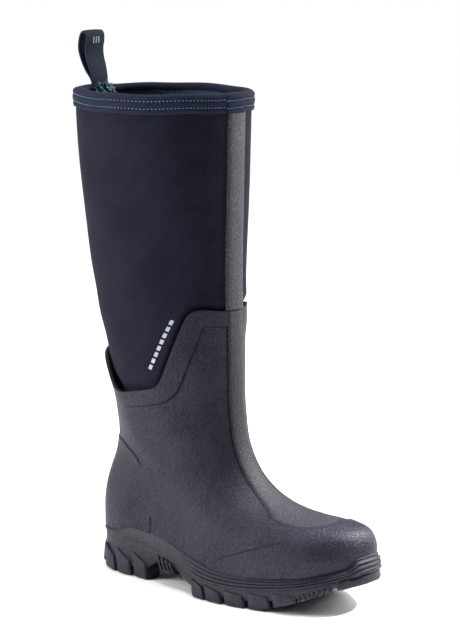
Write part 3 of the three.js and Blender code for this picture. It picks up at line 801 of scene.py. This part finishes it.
def shaft_place(start):
    def place(s, t):
        angle = start + (0.25 + 179.5 * s) * math.pi / 180
        low, high = collar_place(angle, SHAFT_TUCK), at_height(angle, SHAFT_TOP)
        v = low + (high - low) * t
        return skin(angle, v, neoprene_face(angle, v))

    return place


PANEL_FLAT = (196, 262)


def cut_to(piece, width, length):
    """Scales the piece's own map to millimetres of the flat cut, so that threads have their real size."""
    layer = piece.data.uv_layers[0].data
    flat = np.empty(len(layer) * 2)
    layer.foreach_get("uv", flat)
    layer.foreach_set("uv", (flat.reshape(-1, 2) * (width, length)).ravel())
    return piece


for side, start in (("outer", 0.0), ("inner", math.pi)):
    panel = cut_to(laid("neoprene_panel_" + side, 132, 120, shaft_place(start), flip=True), *PANEL_FLAT)
    thicken(panel, NEOPRENE, edge=0.6)
    finished(panel, "boot", "neoprene_knit", "shaft_panel_" + side)

# %% [markdown]
# ## Painted shadow beside the shin tape
# The tape's two edges stand off the soft neoprene, so a line of shadow shows along each. It is painted as a
# near-black strip, laid like the painted shadow at the parting lines of the rubber.

# %% Painted shadow on both sides of the shin tape
strips = []
for side in (-1, 1):
    shadow_line_strip(shin_line(side, -0.3), shin_line(side, 1.3), neoprene_face)
# The strips take the near-black parting_shadow finish: painted shadow in the gap beside the tape.
finished(joined(strips, "shin_tape_gap_shadow"), "boot", "shell_rubber", look="parting_shadow")

# %% [markdown]
# ## Printed dashes
# A plain row of pale dashes is printed on the outer panel along the slant of the collar. Print has almost
# no thickness, so each dash is a thin patch laid just off the cloth.

# %% Printed dashes
DASHES = 8
LEG_STEP = math.radians(1) * LEG_RADIUS  # one degree round the leg, in millimetres
DASH_RUN, DASH_RISE = -26, 47  # the row's run round the leg in degrees, and its rise in millimetres
DASH_START, DASH_FOOT = 83, 190
PRINT = 0.4


def dash_place(k):
    def place(s, t):
        along = (k + 0.5 + 0.66 * (t - 0.5)) / DASHES
        turn, z = DASH_START + DASH_RUN * along, DASH_FOOT + DASH_RISE * along
        slope = np.array([DASH_RUN * LEG_STEP, DASH_RISE]) / math.hypot(DASH_RUN * LEG_STEP, DASH_RISE)
        side = 2.3 * (s - 0.5)
        angle = np.radians(turn + side * slope[1] / LEG_STEP)
        v = at_height(angle, z - side * slope[0])
        return skin(angle, v, neoprene_face(angle, v) + 0.22)

    return place


dashes = [cut_to(laid(f"dash_{k}", 6, 8, dash_place(k), flip=True), 3, 4.4) for k in range(DASHES)]
print_row = joined(dashes, "printed_dashes")
thicken(print_row, PRINT)
finished(print_row, "boot", "", look="plain_mark")

# %% [markdown]
# ## Back seam tape
# A narrow ribbed tape covers the seam at the back. It is laid on the neoprene, domed a little by the seam
# under it.


# %% Back seam tape
def back_tape_place(s, t):
    angle = math.pi + np.radians(7.2) * (2 * s - 1)
    low, high = collar_place(angle, -6), at_height(angle, CUFF_HEIGHT - 11.5)
    v = low + (high - low) * t
    dome = 0.9 * (1 - np.abs(2 * s - 1) ** 6)
    return skin(angle, v, cloth_wave(angle, last_point(angle, v)[..., 2]) + dome)


tape = cut_to(laid("back_tape", 12, 80, back_tape_place, flip=True), 18, 202)
thicken(tape, 1.0, edge=0.2)
finished(tape, "boot", "binding_cloth", "back_seam_tape")

# %% [markdown]
# ## Bound cuff
# The top edge is bound like a hem: a folded tape rolls over the edge and two rows of stitching pull it in,
# so that it puffs between them. Its section is drawn once and swept round the leg. At every stitch the
# section is pulled in a little more, which gives the small puckers.

# %% Cuff binding
THREAD_ROWS = (-1.5, -7.8)
STITCHES = 148
# Distance out from the shaft's face, and height from the shaft's top edge.
BINDING_SECTION = [
    (-0.4, -12.4), (1.1, -12.6), (2.0, -12), (2.2, -10.4), (2.0, -9.1), (1.1, -7.8), (2.2, -6.5),
    (2.6, -4.7),
    (2.2, -2.9), (1.1, -1.5), (2.1, -0.2), (2.0, 1.4), (0.9, 2.8), (-0.9, 3.6), (-2.8, 3.9),
    (-5, 3.7), (-7, 2.8),
    (-8.3, 1.4), (-8.6, -0.4), (-8.4, -1.8), (-7.6, -2.3), (-7.2, -1.4), (-6, 0.4), (-3, 1), (-0.4, 0.4),
    (-0.4, -12.4),
]
binding_at = spline(np.linspace(0, 1, len(BINDING_SECTION)), BINDING_SECTION)


def cuff_point(angle, out, up):
    """A point by its distance out from the shaft's face and its height from the shaft's top edge."""
    sway = 0.5 * np.sin(3 * angle + 0.4) + 0.3 * np.sin(8 * angle + 2)
    v = at_height(angle, CUFF_HEIGHT + np.minimum(0, up))
    point = skin(angle, v, out + cloth_wave(angle, CUFF_HEIGHT + up))
    point[..., 2] = CUFF_HEIGHT + up + sway
    return point


def cuff_place(s, t):
    angle = s * TAU
    out, up = np.moveaxis(binding_at(t), -1, 0)
    pull = sum(np.exp(-((up - row) / 1.7) ** 2) for row in THREAD_ROWS) * (out > 0)
    pucker = 0.4 * pull * np.cos(STITCHES * angle) + 0.2 * np.sin(31 * angle) * np.exp(-((up + 1) / 4) ** 2)
    return cuff_point(angle, out - pucker, up)


cuff = cut_to(laid("bound_cuff", 4 * STITCHES, 54, cuff_place, seam=True), 400, 56)
smooth_shade(cuff)
finished(cuff, "boot", "binding_cloth", "cuff_binding")
# The tape's cut is measured: its girth on the last, and one layer of its section from hem to inner edge.
round_leg = np.linspace(0, TAU, 721)
cuff_line = last_point(round_leg, at_height(round_leg, CUFF_HEIGHT))
inner_edge = BINDING_SECTION.index((-7.6, -2.3)) / (len(BINDING_SECTION) - 1)
tape_section = binding_at(np.linspace(0, inner_edge, 800))
tape_cut = [float(np.linalg.norm(np.diff(line, axis=0), axis=1).sum()) * MM
            for line in (cuff_line, tape_section)]
print("binding tape cut:", [round(size, 4) for size in tape_cut], "m")

# %% [markdown]
# ## End of the binding tape
# The binding goes once round the leg and laps over its own beginning at the front, above the shin. The lap
# is a second layer of the same section over a few degrees, set a little proud of the first and drawn down
# at its hem.

# %% The lapped end of the tape
# Where the lap begins and ends, in degrees from the shin.
LAP = (-6.0, 11.0)


def lap_place(s, t):
    angle = np.radians(LAP[0] + (LAP[1] - LAP[0]) * s)
    out, up = np.moveaxis(binding_at(0.02 + 0.68 * t), -1, 0)
    pull = sum(np.exp(-((up - row) / 1.7) ** 2) for row in THREAD_ROWS) * (out > 0)
    return cuff_point(angle, out + 0.75 - 0.3 * pull, up - 0.9 * (1 - smooth(-4, 2, up)))


lap = cut_to(laid("cuff_tape_end", 30, 40, lap_place, flip=True), 18, 34)
thicken(lap, 0.9, edge=0.2)
finished(lap, "boot", "binding_cloth")

# %% [markdown]
# ## Stitches
# One stitch is a short thread that dives into the cloth at both ends. It is modelled once, from a small
# sphere drawn out to its length and bent down at its ends, and then copied along each row, each copy turned
# along the cloth.


# %% Two rows of cuff stitches
def model_stitch():
    deselect()
    bpy.ops.mesh.primitive_uv_sphere_add(segments=6, ring_count=7, radius=1, location=(0, 0, 0))
    bpy.ops.object.mode_set(mode="EDIT")
    bpy.ops.mesh.select_all(action="SELECT")
    bpy.ops.transform.rotate(value=math.pi / 2, orient_axis="Y", center_override=(0, 0, 0))
    bpy.ops.object.mode_set(mode="OBJECT")
    return bpy.context.object


def sewn(name, places, length, thickness, bend=0.35):
    """Stitches at the places: rows of a point, a direction along and a direction out, in millimetres."""
    pattern = model_stitch()
    shape = coordinates(pattern.data)
    copies = []
    for point, along, out in places:
        copy = copied(pattern)
        across = np.cross(along, out)
        x, y, z = shape.T
        up = z * thickness / 2 - bend * x ** 2
        move_corners(copy, point + np.outer(x * length / 2, along) + np.outer(y * thickness / 2, across)
                     + np.outer(up, out))
        copies.append(copy)
    bpy.data.objects.remove(pattern)
    row = joined(copies, name)
    smooth_shade(row)
    return row


def unit(vector):
    return vector / np.linalg.norm(vector)


def cuff_stitches(up):
    for k in range(STITCHES):
        angle = np.array((k + 0.5) / STITCHES * TAU)
        lapped = LAP[0] < (math.degrees(float(angle)) + 180) % 360 - 180 < LAP[1]
        lift, height = np.array(1.9 + 0.8 * lapped), np.array(up - 0.9 * lapped)
        point, ahead = cuff_point(angle, lift, height), cuff_point(angle + 0.01, lift, height)
        out = last_normal(angle, at_height(angle, CUFF_HEIGHT + up))
        yield point, unit(ahead - point), out


for name, up in zip(("upper", "lower"), THREAD_ROWS):
    row = sewn("cuff_stitches_" + name, cuff_stitches(up), 2.2, 0.85)
    finished(row, "boot", "thread_blue", "cuff_thread_" + name)

# %% [markdown]
# ## Lining
# The inside is a mesh with slanting pale-blue ribs, over the whole leg and foot. It is a tube like the
# shell, laid inside the neoprene, and a tape covers its back seam. Where the pull loop's ends are sewn in,
# a spare handful of the mesh is bunched up at the top edge.


# %% Lining, foot sock and inner tape
def lining_face(angle, v):
    return neoprene_face(angle, v) - NEOPRENE - 1.0


def lining_place(s, t):
    angle = s * TAU
    v = 0.004 + (at_height(angle, CUFF_HEIGHT - 1.2) - 0.004) * t
    ribs = 0.25 * np.sin(60 * angle + last_point(angle, v)[..., 2] / 2.2)
    return skin(angle, v, lining_face(angle, v) + ribs * smooth(0.5, 0.6, t))


lining = cut_to(laid("mesh_tube", 240, 150, lining_place, seam=True), 400, 560)
thicken(lining, 1.0)
finished(lining, "boot", "lining_mesh", "mesh_lining")


def sock_place(s, t):
    angle = s * TAU
    v = 0.003 + (collar_place(angle, SHAFT_TUCK + 1) - 0.003) * t
    return skin(angle, v, -NEOPRENE_STEP)


sock = cut_to(laid("neoprene_sock", 120, 60, sock_place, seam=True), 330, 300)
thicken(sock, NEOPRENE)
finished(sock, "boot", "neoprene_knit", "neoprene_foot")


def inner_tape_place(s, t):
    angle = math.pi + np.radians(6.5) * (2 * s - 1)
    low, high = collar_place(angle, -40), at_height(angle, CUFF_HEIGHT - 20)
    v = low + (high - low) * t
    return skin(angle, v, lining_face(angle, v) - 1.6)


inner_tape = cut_to(laid("inner_seam_tape", 8, 60, inner_tape_place, flip=True), 14, 168)
thicken(inner_tape, 0.9, edge=0.2)
finished(inner_tape, "boot", "binding_cloth", "lining_seam_tape")

# %% [markdown]
# ## Pull loop
# The loop is one length of webbing, up the front, over the top and down again behind, with both ends sewn
# inside the back of the cuff. Its line is a curve through a few given points. The webbing is a flat
# strip laid along the line, and it dishes a little across its width where it turns.

# %% Pull loop, tail, bunched mesh and bar tack
# Centre line of the webbing, y and z from its root: up the front leg, over the top and down the rear leg.
LOOP_LINE = [
    (0, 0), (0.8, 5.5), (3, 13), (6, 22), (6.6, 30), (5.4, 36), (5.6, 42), (8.4, 45), (12.4, 43.4),
    (15, 37),
    (15.6, 29), (12.8, 20), (8.2, 11), (3.8, 4.4), (2, 0),
]
loop_at = spline(np.linspace(0, 1, len(LOOP_LINE)), LOOP_LINE)


def on_loop(across, t, lift=0.0):
    y, z = np.moveaxis(loop_at(t), -1, 0)
    ahead = loop_at(np.minimum(t + 0.004, 1)) - loop_at(np.maximum(t - 0.004, 0))
    ahead = ahead / np.linalg.norm(ahead, axis=-1, keepdims=True)
    half = WEBBING_WIDTH / 2 * (1 - 0.16 * (1 - smooth(0, 0.2, t)) - 0.16 * smooth(0.8, 1, t))
    off = lift - 0.5 * across ** 2
    return np.stack([half * across, LOOP_ROOT[0] + y - ahead[..., 1] * off,
                     LOOP_ROOT[1] + z + ahead[..., 0] * off], -1)


def webbing_place(s, t):
    return on_loop(2 * s - 1, t, WEBBING / 2)


loop = cut_to(laid("webbing_loop", 16, 120, webbing_place), WEBBING_WIDTH, 108)
thicken(loop, WEBBING, edge=0.3)
finished(loop, "pull_loop", "loop_webbing", "pull_loop")


def mark_place(k):
    def place(s, t):
        return on_loop(-0.28 + 0.28 * k + (s - 0.5) * 0.09, 0.335 + 0.065 * t, WEBBING / 2 + 0.25)

    return place


for k in range(3):
    mark = cut_to(laid(f"loop_bar_{k + 1}", 3, 8, mark_place(k)), 1.1, 7)
    thicken(mark, 0.4)
    finished(mark, "pull_loop", "", look="plain_mark")

# The loose ends go down inside the lining, side by side.
TAIL_DEPTH = 22


def tail_place(s, t):
    y = LOOP_ROOT[0] - 3.4 + 3.2 * smooth(0.5, 0.95, t)
    return np.stack([(2 * s - 1) * 9.4, y + 0 * t, LOOP_ROOT[1] + 1.2 - TAIL_DEPTH * (1 - t)], -1)


tail = cut_to(laid("loop_ends", 10, 30, tail_place), 18, 23)
thicken(tail, 3.0, edge=0.5)
finished(tail, "boot", "loop_webbing", "loop_tail")


def tack_stitches():
    """A sewn box with its two diagonals, as on most webbing ends."""
    low, high, half, face = 410.5, 419.5, 7.0, 149.3
    corners = [np.array([x, face, z]) for x, z in ((-half, low), (half, low), (half, high), (-half, high))]
    for a, b in ((0, 1), (1, 2), (2, 3), (3, 0), (0, 2), (1, 3)):
        run = corners[b] - corners[a]
        count = int(np.linalg.norm(run) // 2.4)
        for k in range(count):
            yield corners[a] + run * (k + 0.5) / count, unit(run), np.array([0.0, -1.0, 0.0])


tack = sewn("bar_tack", tack_stitches(), 2.0, 0.7, bend=0.2)
finished(tack, "boot", "thread_blue", "loop_bartack")


# %% [markdown]
# ## Bunched mesh
# The lining's spare cloth is gathered into a small knot where the loop is sewn in. No flat cut gives that
# shape, so it is a ball with folds run over it and pressed flat against the back of the cuff.

# %% The bunched mesh at the loop's root
def bunched(name, centre, size, seed):
    """A handful of cloth: a ball with folds running over it, pressed against the back of the cuff."""
    deselect()
    bpy.ops.mesh.primitive_uv_sphere_add(segments=72, ring_count=36, radius=1, location=(0, 0, 0))
    ball = bpy.context.object
    ball.name = ball.data.name = name
    x, y, z = coordinates(ball.data).T
    turn = np.arctan2(z, x)
    folds = (0.1 * np.sin(9 * turn + 5 * y + seed) + 0.09 * np.sin(17 * turn - 6 * y + 2.3 * seed)
             + 0.08 * np.sin(13 * x + 11 * z + seed) * np.cos(8 * y + seed))
    crease = np.abs(np.sin(5 * x + 3 * z + seed))
    shape = np.stack([x, y, z], -1) * (0.78 + folds + 0.16 * crease)[:, None]
    move_corners(ball, np.array(centre) + shape * np.array(size))
    smooth_shade(ball, 80)
    return cut_to(ball, 60, 30)


gather = bunched("bunched_mesh", (-1.5, 146.5, 422.5), (14, 5.5, 8.5), 1.0)
finished(gather, "boot", "lining_mesh")

# %% [markdown]
# ## The sole
# The sole is a separate moulding. Its outline is the last's foot outline, a little larger, so it stands out
# under the foot as a rim. It rises at the toe and lifts clear of the ground at the arch. The rim is drawn
# as a section and swept round the outline. The bottom is a flat cut of the same outline with its sides
# drawn up.


# %% Outline of the sole
def outline_point(angle, inset=0.0):
    """A point on the sole's outline, moved in along its normal, in millimetres."""
    def plan(a):
        share, x = foot_point(a)
        return np.stack([x * SOLE_HALF_WIDTH, (2 * share - 1) * SOLE_HALF_LENGTH], -1)

    run = plan(angle + 0.008) - plan(angle - 0.008)
    inward = np.stack([run[..., 1], -run[..., 0]], -1)
    inward = inward / np.linalg.norm(inward, axis=-1, keepdims=True)
    return plan(angle) + inward * np.asarray(inset)[..., None]


turns = np.linspace(0, TAU, 721)
edge_points = outline_point(turns)
tip, heel_end = int(edge_points[:, 1].argmin()), int(edge_points[:, 1].argmax())
outer_run = np.arange(tip if tip < heel_end else tip - 720, heel_end + 1)
inner_run = np.arange(heel_end, outer_run[0] + 721)[::-1]


def angle_at(y, side):
    """The angle at which the outline reaches y: side -1 is the outer side, 1 the inner side."""
    run = outer_run if side < 0 else inner_run
    return np.interp(y, edge_points[run % 720, 1], run * TAU / 720)


print("sole", round(float(np.ptp(edge_points[:, 1]))), "by", round(float(np.ptp(edge_points[:, 0]))), "mm")

# %% [markdown]
# ## Rand
# The rand is the rim of rubber that wraps the joint between foot and sole. Four ridges run round the
# forefoot and die out at the arch, where the rand sweeps up to the heel. At the toe it is thicker, as a
# bumper. Its section is drawn once, then swept round the outline, with the ridges faded by the share of the
# length.

# %% Rand
# Distance out from the sole's outline, and share of the height from the welt up to the edge of the upper.
RAND_SECTION = [
    (-9, 0), (-1.6, 0), (-0.4, 0.03), (-0.1, 0.12), (-0.4, 0.22), (-1.5, 0.27), (-1.5, 0.31), (-0.6, 0.37),
    (-0.4, 0.46), (-0.9, 0.54), (-1.9, 0.58), (-1.9, 0.62), (-1.2, 0.68), (-1.2, 0.77), (-2.0, 0.84),
    (-3.2, 0.88),
    (-3.2, 0.92), (-3.0, 0.99), (-3.8, 1.08), (-5.2, 1.12), (-7.5, 1.1), (-9, 1.0), (-9, 0),
]
rand_at = spline(np.linspace(0, 1, len(RAND_SECTION)), RAND_SECTION)


def rand_place(s, t):
    angle = s * TAU
    share = share_of(outline_point(angle)[..., 1])
    out, up = np.moveaxis(rand_at(t), -1, 0)
    plain = np.where(out > -4, -0.5 - 2.8 * np.clip(up, 0, 1) ** 2, out)
    out = out + (plain - out) * smooth(0.46, 0.6, share)
    bumper = 1 - smooth(8.5, 13, degrees_round(angle))
    low, high = welt(share), feather(share) + 7 * bumper - 7 * smooth(0.8, 0.93, share)
    edge = outline_point(angle, -out - 1.3 * bumper * (out > -4))
    return np.concatenate([edge, (low + (high - low) * up)[..., None]], -1)


rand = laid("ridged_rand", 280, 66, rand_place, seam=True)
smooth_shade(rand)
finished(rand, "boot", "sole_rubber", "rand")


# %% [markdown]
# ## Slabs under the foot
# The outsole, the footbed and its cover are all cut to the sole's outline, only further in. One function
# cuts such a layer between two heights, and both heights follow the foot as it rises at the toe and the
# arch.


# %% Flat cuts of the sole's outline
def slab(name, inset, low, high, columns=40, rows=130, edge=0.8):
    """A layer of the sole's outline, moved in by inset. low and high give its heights by share of length."""
    rim = outline_point(turns, np.full(turns.shape, float(inset)))
    first, last = rim[:, 1].min() + 0.05, rim[:, 1].max() - 0.05
    outer, inner = rim[outer_run % 720], rim[inner_run % 720]

    def plan(s, t):
        y = first + (last - first) * (1 - np.cos(math.pi * t)) / 2
        left, right = np.interp(y, outer[:, 1], outer[:, 0]), np.interp(y, inner[:, 1], inner[:, 0])
        return np.stack([left + (right - left) * (1 - np.cos(math.pi * s)) / 2, y, low(share_of(y))], -1)

    layer = laid(name, columns, rows, plan, flip=True)
    apply_modifier(layer, "SOLIDIFY", thickness=MM, offset=-1)
    co = coordinates(layer.data) / MM - np.array([0, FORWARD, 0])
    count = len(co) // 2
    co[count:] = co[:count]
    co[count:, 2] = high(share_of(co[:count, 1]))
    move_corners(layer, co)
    if edge:
        apply_modifier(layer, "BEVEL", width=edge * MM, segments=2, limit_method="ANGLE",
                       angle_limit=math.radians(50))
    smooth_shade(layer, 40)
    return layer


base = slab("outsole_body", 1.6, tread, lambda share: welt(share) - 0.2)
finished(base, "boot", "sole_rubber", "outsole")

# %% [markdown]
# ## Lugs
# Deep lugs round the edge bite into mud. They stand on the tread and climb the side wall, each with a
# leaning shoulder that is higher at one end. One block is modelled, subdivided and bevelled. Each lug is a
# copy of it laid along the outline between two angles, which also gives the bars across the middle and the
# thin ribs at the arch.


# %% Lugs
# Share of the length, share that the lug takes, and reach in from the edge in millimetres.
EDGE_LUGS = [
    (0.19, 0.062, 19), (0.27, 0.064, 18), (0.352, 0.062, 18), (0.428, 0.054, 18), (0.492, 0.046, 18),
    (0.768, 0.052, 16), (0.84, 0.056, 16), (0.912, 0.052, 16),
]
CENTRE_LUGS = [0.15, 0.23, 0.31, 0.39, 0.46, 0.8, 0.875]
SHANK_RIBS = [0.612, 0.632, 0.652, 0.672]
TOE_SLITS = [0.066 + 0.0135 * k for k in range(8)]


def model_block():
    deselect()
    bpy.ops.mesh.primitive_cube_add(size=2, location=(0, 0, 0))
    block = bpy.context.object
    apply_modifier(block, "BEVEL", width=0.24, segments=3)
    bpy.ops.object.mode_set(mode="EDIT")
    bpy.ops.mesh.select_all(action="SELECT")
    bpy.ops.mesh.subdivide(number_cuts=2)
    bpy.ops.object.mode_set(mode="OBJECT")
    return block


block = model_block()
block_shape = coordinates(block.data)
lugs = []


def lug(place):
    """One lug: place(x, y, z) lays the block: x along the edge, y from inside to outside, z upwards."""
    copy = copied(block)
    move_corners(copy, place(*block_shape.T))
    lugs.append(copy)


def edge_lug(start, end, reach, lean=3.0, rise=(0.5, 1.0), sink=0.0, proud=0.9):
    """A lug between two angles of the outline. rise is the share of the side wall that each end climbs."""

    def place(x, y, z):
        up, outside = (z + 1) / 2, (y + 1) / 2
        angle = start + (end - start) * (x + 1) / 2
        there = outline_point(angle)
        share = share_of(there[..., 1] + lean * up * outside)
        climb = rise[0] + (rise[1] - rise[0]) * (x + 1) / 2
        inset = reach + (-proud + 1.1 * up ** 2 - reach) * outside
        point = outline_point(angle, inset)
        low = np.maximum(ground_line(share), 0) + sink
        top = tread(share) + 1 + (welt(share) - tread(share) - 1.5) * climb * smooth(0.3, 1, outside)
        return np.stack([point[..., 0], point[..., 1] + lean * up * outside, low + (top - low) * up], -1)

    lug(place)


def bar(share, half_width, half_length, side_shift=0.0):
    """A bar across the middle of the tread, bent like a chevron."""

    def place(x, y, z):
        along = (2 * share - 1) * SOLE_HALF_LENGTH + y * half_length + 5 * np.abs(x)
        low, top = np.maximum(ground_line(share_of(along)), 0) + 0.4, tread(share_of(along)) + 1
        return np.stack([side_shift + x * half_width, along, low + (top - low) * (z + 1) / 2], -1)

    lug(place)


for share, taken, reach in EDGE_LUGS:
    for side in (-1, 1):
        y = (2 * share - 1) * SOLE_HALF_LENGTH
        half = taken * SOLE_HALF_LENGTH * 1.14
        rise = (0.15, 0.62) if share > 0.6 else (0.4, 0.85)
        edge_lug(angle_at(y - half, side), angle_at(y + half, side), reach, rise=rise)
for start, end in ((-0.33, -0.1), (-0.06, 0.2)):
    edge_lug(math.pi + start, math.pi + end, 16, lean=0.0, rise=(0.3, 0.55))
edge_lug(-0.32, 0.30, 20, lean=0.0, rise=(0.9, 0.9), proud=0.5)
for side in (-1, 1):
    for share in TOE_SLITS:
        y = (2 * share - 1) * SOLE_HALF_LENGTH
        edge_lug(angle_at(y - 1.2, side), angle_at(y + 1.2, side), 16, lean=1.0, rise=(0.25, 0.4), proud=0.2)
    for share in SHANK_RIBS:
        y = (2 * share - 1) * SOLE_HALF_LENGTH
        edge_lug(angle_at(y - 1.5, side), angle_at(y + 1.5, side), 22, lean=6.0, rise=(0.6, 0.8), sink=13.0)
for share in CENTRE_LUGS:
    bar(share, 11, 4.2, side_shift=-4 if share < 0.5 else 0)
bpy.data.objects.remove(block)
tread_lugs = joined(lugs, "tread_lugs")
smooth_shade(tread_lugs, 50)
finished(tread_lugs, "boot", "sole_rubber")

# %% [markdown]
# ## Inside the foot
# A foam footbed with a mesh cover lies on a stiff board, which carries a steel shank under the arch, and a
# soft cushion sits under the heel. The board, the shank and the filler under them are hidden and plain, so
# they keep their solids and only get their finish.


# %% Footbed, cushion and hidden pieces
FOOTBED_INSET = 16.5


def above_feather(up):
    return lambda share: feather(share) + up


foam = slab("footbed_pad", FOOTBED_INSET, above_feather(1), above_feather(6), 24, 70, 1.2)
finished(foam, "footbed", "foam", "footbed_foam")
cover = slab("footbed_mesh", FOOTBED_INSET, above_feather(6.3), above_feather(7.5), 24, 70, 0.4)
cut_to(cover, 75, 250)
finished(cover, "footbed", "lining_mesh", "footbed_cover")
low_corner, high_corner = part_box("heel_cushion")
deselect()
bpy.ops.mesh.primitive_uv_sphere_add(segments=48, ring_count=24, radius=1, location=(0, 0, 0))
cushion = bpy.context.object
cushion.name = cushion.data.name = "heel_pad"
rounded = np.sign(coordinates(cushion.data)) * np.abs(coordinates(cushion.data)) ** np.array([1, 1, 0.55])
middle = (np.array(low_corner) + np.array(high_corner)) / 2 / MM - np.array([0, FORWARD, 0])
move_corners(cushion, middle + rounded * (np.array(high_corner) - np.array(low_corner)) / 2 / MM)
smooth_shade(cushion)
finished(cushion, "footbed", "foam", "heel_cushion")

for node, slot in (("midsole", "sole_rubber"), ("lasting_board", "board"), ("shank_plate", "steel")):
    solid = frame["nodes"][node]
    solid.data.materials.clear()
    solid.data.materials.append(FINISHES[slot])
    print(node, "keeps its solid")

# %% [markdown]
# ## Studio
# The boot stands on a plain pale floor in a white room. A tall softbox on the outer side models the shaft,
# and a second one in front picks out the shin and the instep, and a narrow lamp makes the bright spot on
# the toe. The camera looks at the outer side from a little in front and above, through a long lens.

# %% Floor, lights and camera
SIGHT = np.array([0, FORWARD - 1, 215]) * MM


def toward(azimuth, elevation, distance, start=SIGHT):
    """A point at a distance: azimuth 0 is in front of the toe, and negative is the outer side."""
    turn, rise = math.radians(azimuth), math.radians(elevation)
    return start + distance * np.array([math.sin(turn) * math.cos(rise),
                                        -math.cos(turn) * math.cos(rise), math.sin(rise)])


def facing(thing, place):
    thing.location = place
    thing.rotation_euler = Vector(SIGHT - place).to_track_quat("-Z", "Y").to_euler()


deselect()
bpy.ops.mesh.primitive_plane_add(size=14, location=(0, 0, -0.0005))
floor = bpy.context.object
floor.name = "floor"
_, floor_shader = start_finish("pale_floor", Roughness=0.9)
floor_shader.inputs["Base Color"].default_value = (0.9, 0.9, 0.9, 1)
floor.data.materials.append(FINISHES["pale_floor"])


def softbox(name, azimuth, elevation, distance, width, height, power):
    light = bpy.data.lights.new(name, "AREA")
    light.shape, light.size, light.size_y, light.energy = "RECTANGLE", width, height, power
    lamp = bpy.data.objects.new(name, light)
    bpy.context.scene.collection.objects.link(lamp)
    facing(lamp, toward(azimuth, elevation, distance))
    print(name, power, "W")


softbox("outer_side_softbox", -132, 14, 1.6, 0.8, 1.6, 40)
softbox("front_softbox", 66, 30, 1.6, 0.7, 1.3, 46)

# A narrow lamp with a snoot, for the bright spot on the toe.
TOE_CAP = np.array([-12, -137, 72]) * MM
deselect()
bpy.ops.object.light_add(type="SPOT", location=toward(44, 52, 1.5, start=TOE_CAP))
spot = bpy.context.object
spot.name = "toe_spot"
spot.rotation_euler = (spot.location - Vector(TOE_CAP)).to_track_quat("Z", "Y").to_euler()
spot.data.energy, spot.data.shadow_soft_size = 750, 0.08
spot.data.spot_size, spot.data.spot_blend = math.radians(6), 1.0
# The high sun keeps the floor white and lights every face that looks up.
sun = bpy.data.lights.new("overhead", "SUN")
sun.energy, sun.angle = 3.3, math.radians(40)
bpy.context.scene.collection.objects.link(bpy.data.objects.new("overhead", sun))
world = bpy.data.worlds.new("white_room")
world.use_nodes = True
bpy.context.scene.world = world
room = Value(world.node_tree)
seen = room.node("ShaderNodeLightPath", output=0)
glow = room.blend(seen, (0.12, 0.12, 0.125, 1), (1, 1, 1, 1))
world.node_tree.links.new(glow.socket, world.node_tree.nodes["Background"].inputs["Color"])
bpy.context.scene.view_settings.view_transform = "Standard"

CAMERA_DISTANCE = 2.05
camera_data = bpy.data.cameras.new("camera")
camera_data.sensor_width = 36
camera_data.lens = 133.85
camera_data.shift_x, camera_data.shift_y = -0.0101, 0.031
camera_data.clip_end = 50
camera = bpy.data.objects.new("camera", camera_data)
bpy.context.scene.collection.objects.link(camera)
facing(camera, toward(-51, 10.4, CAMERA_DISTANCE))
bpy.context.scene.camera = camera
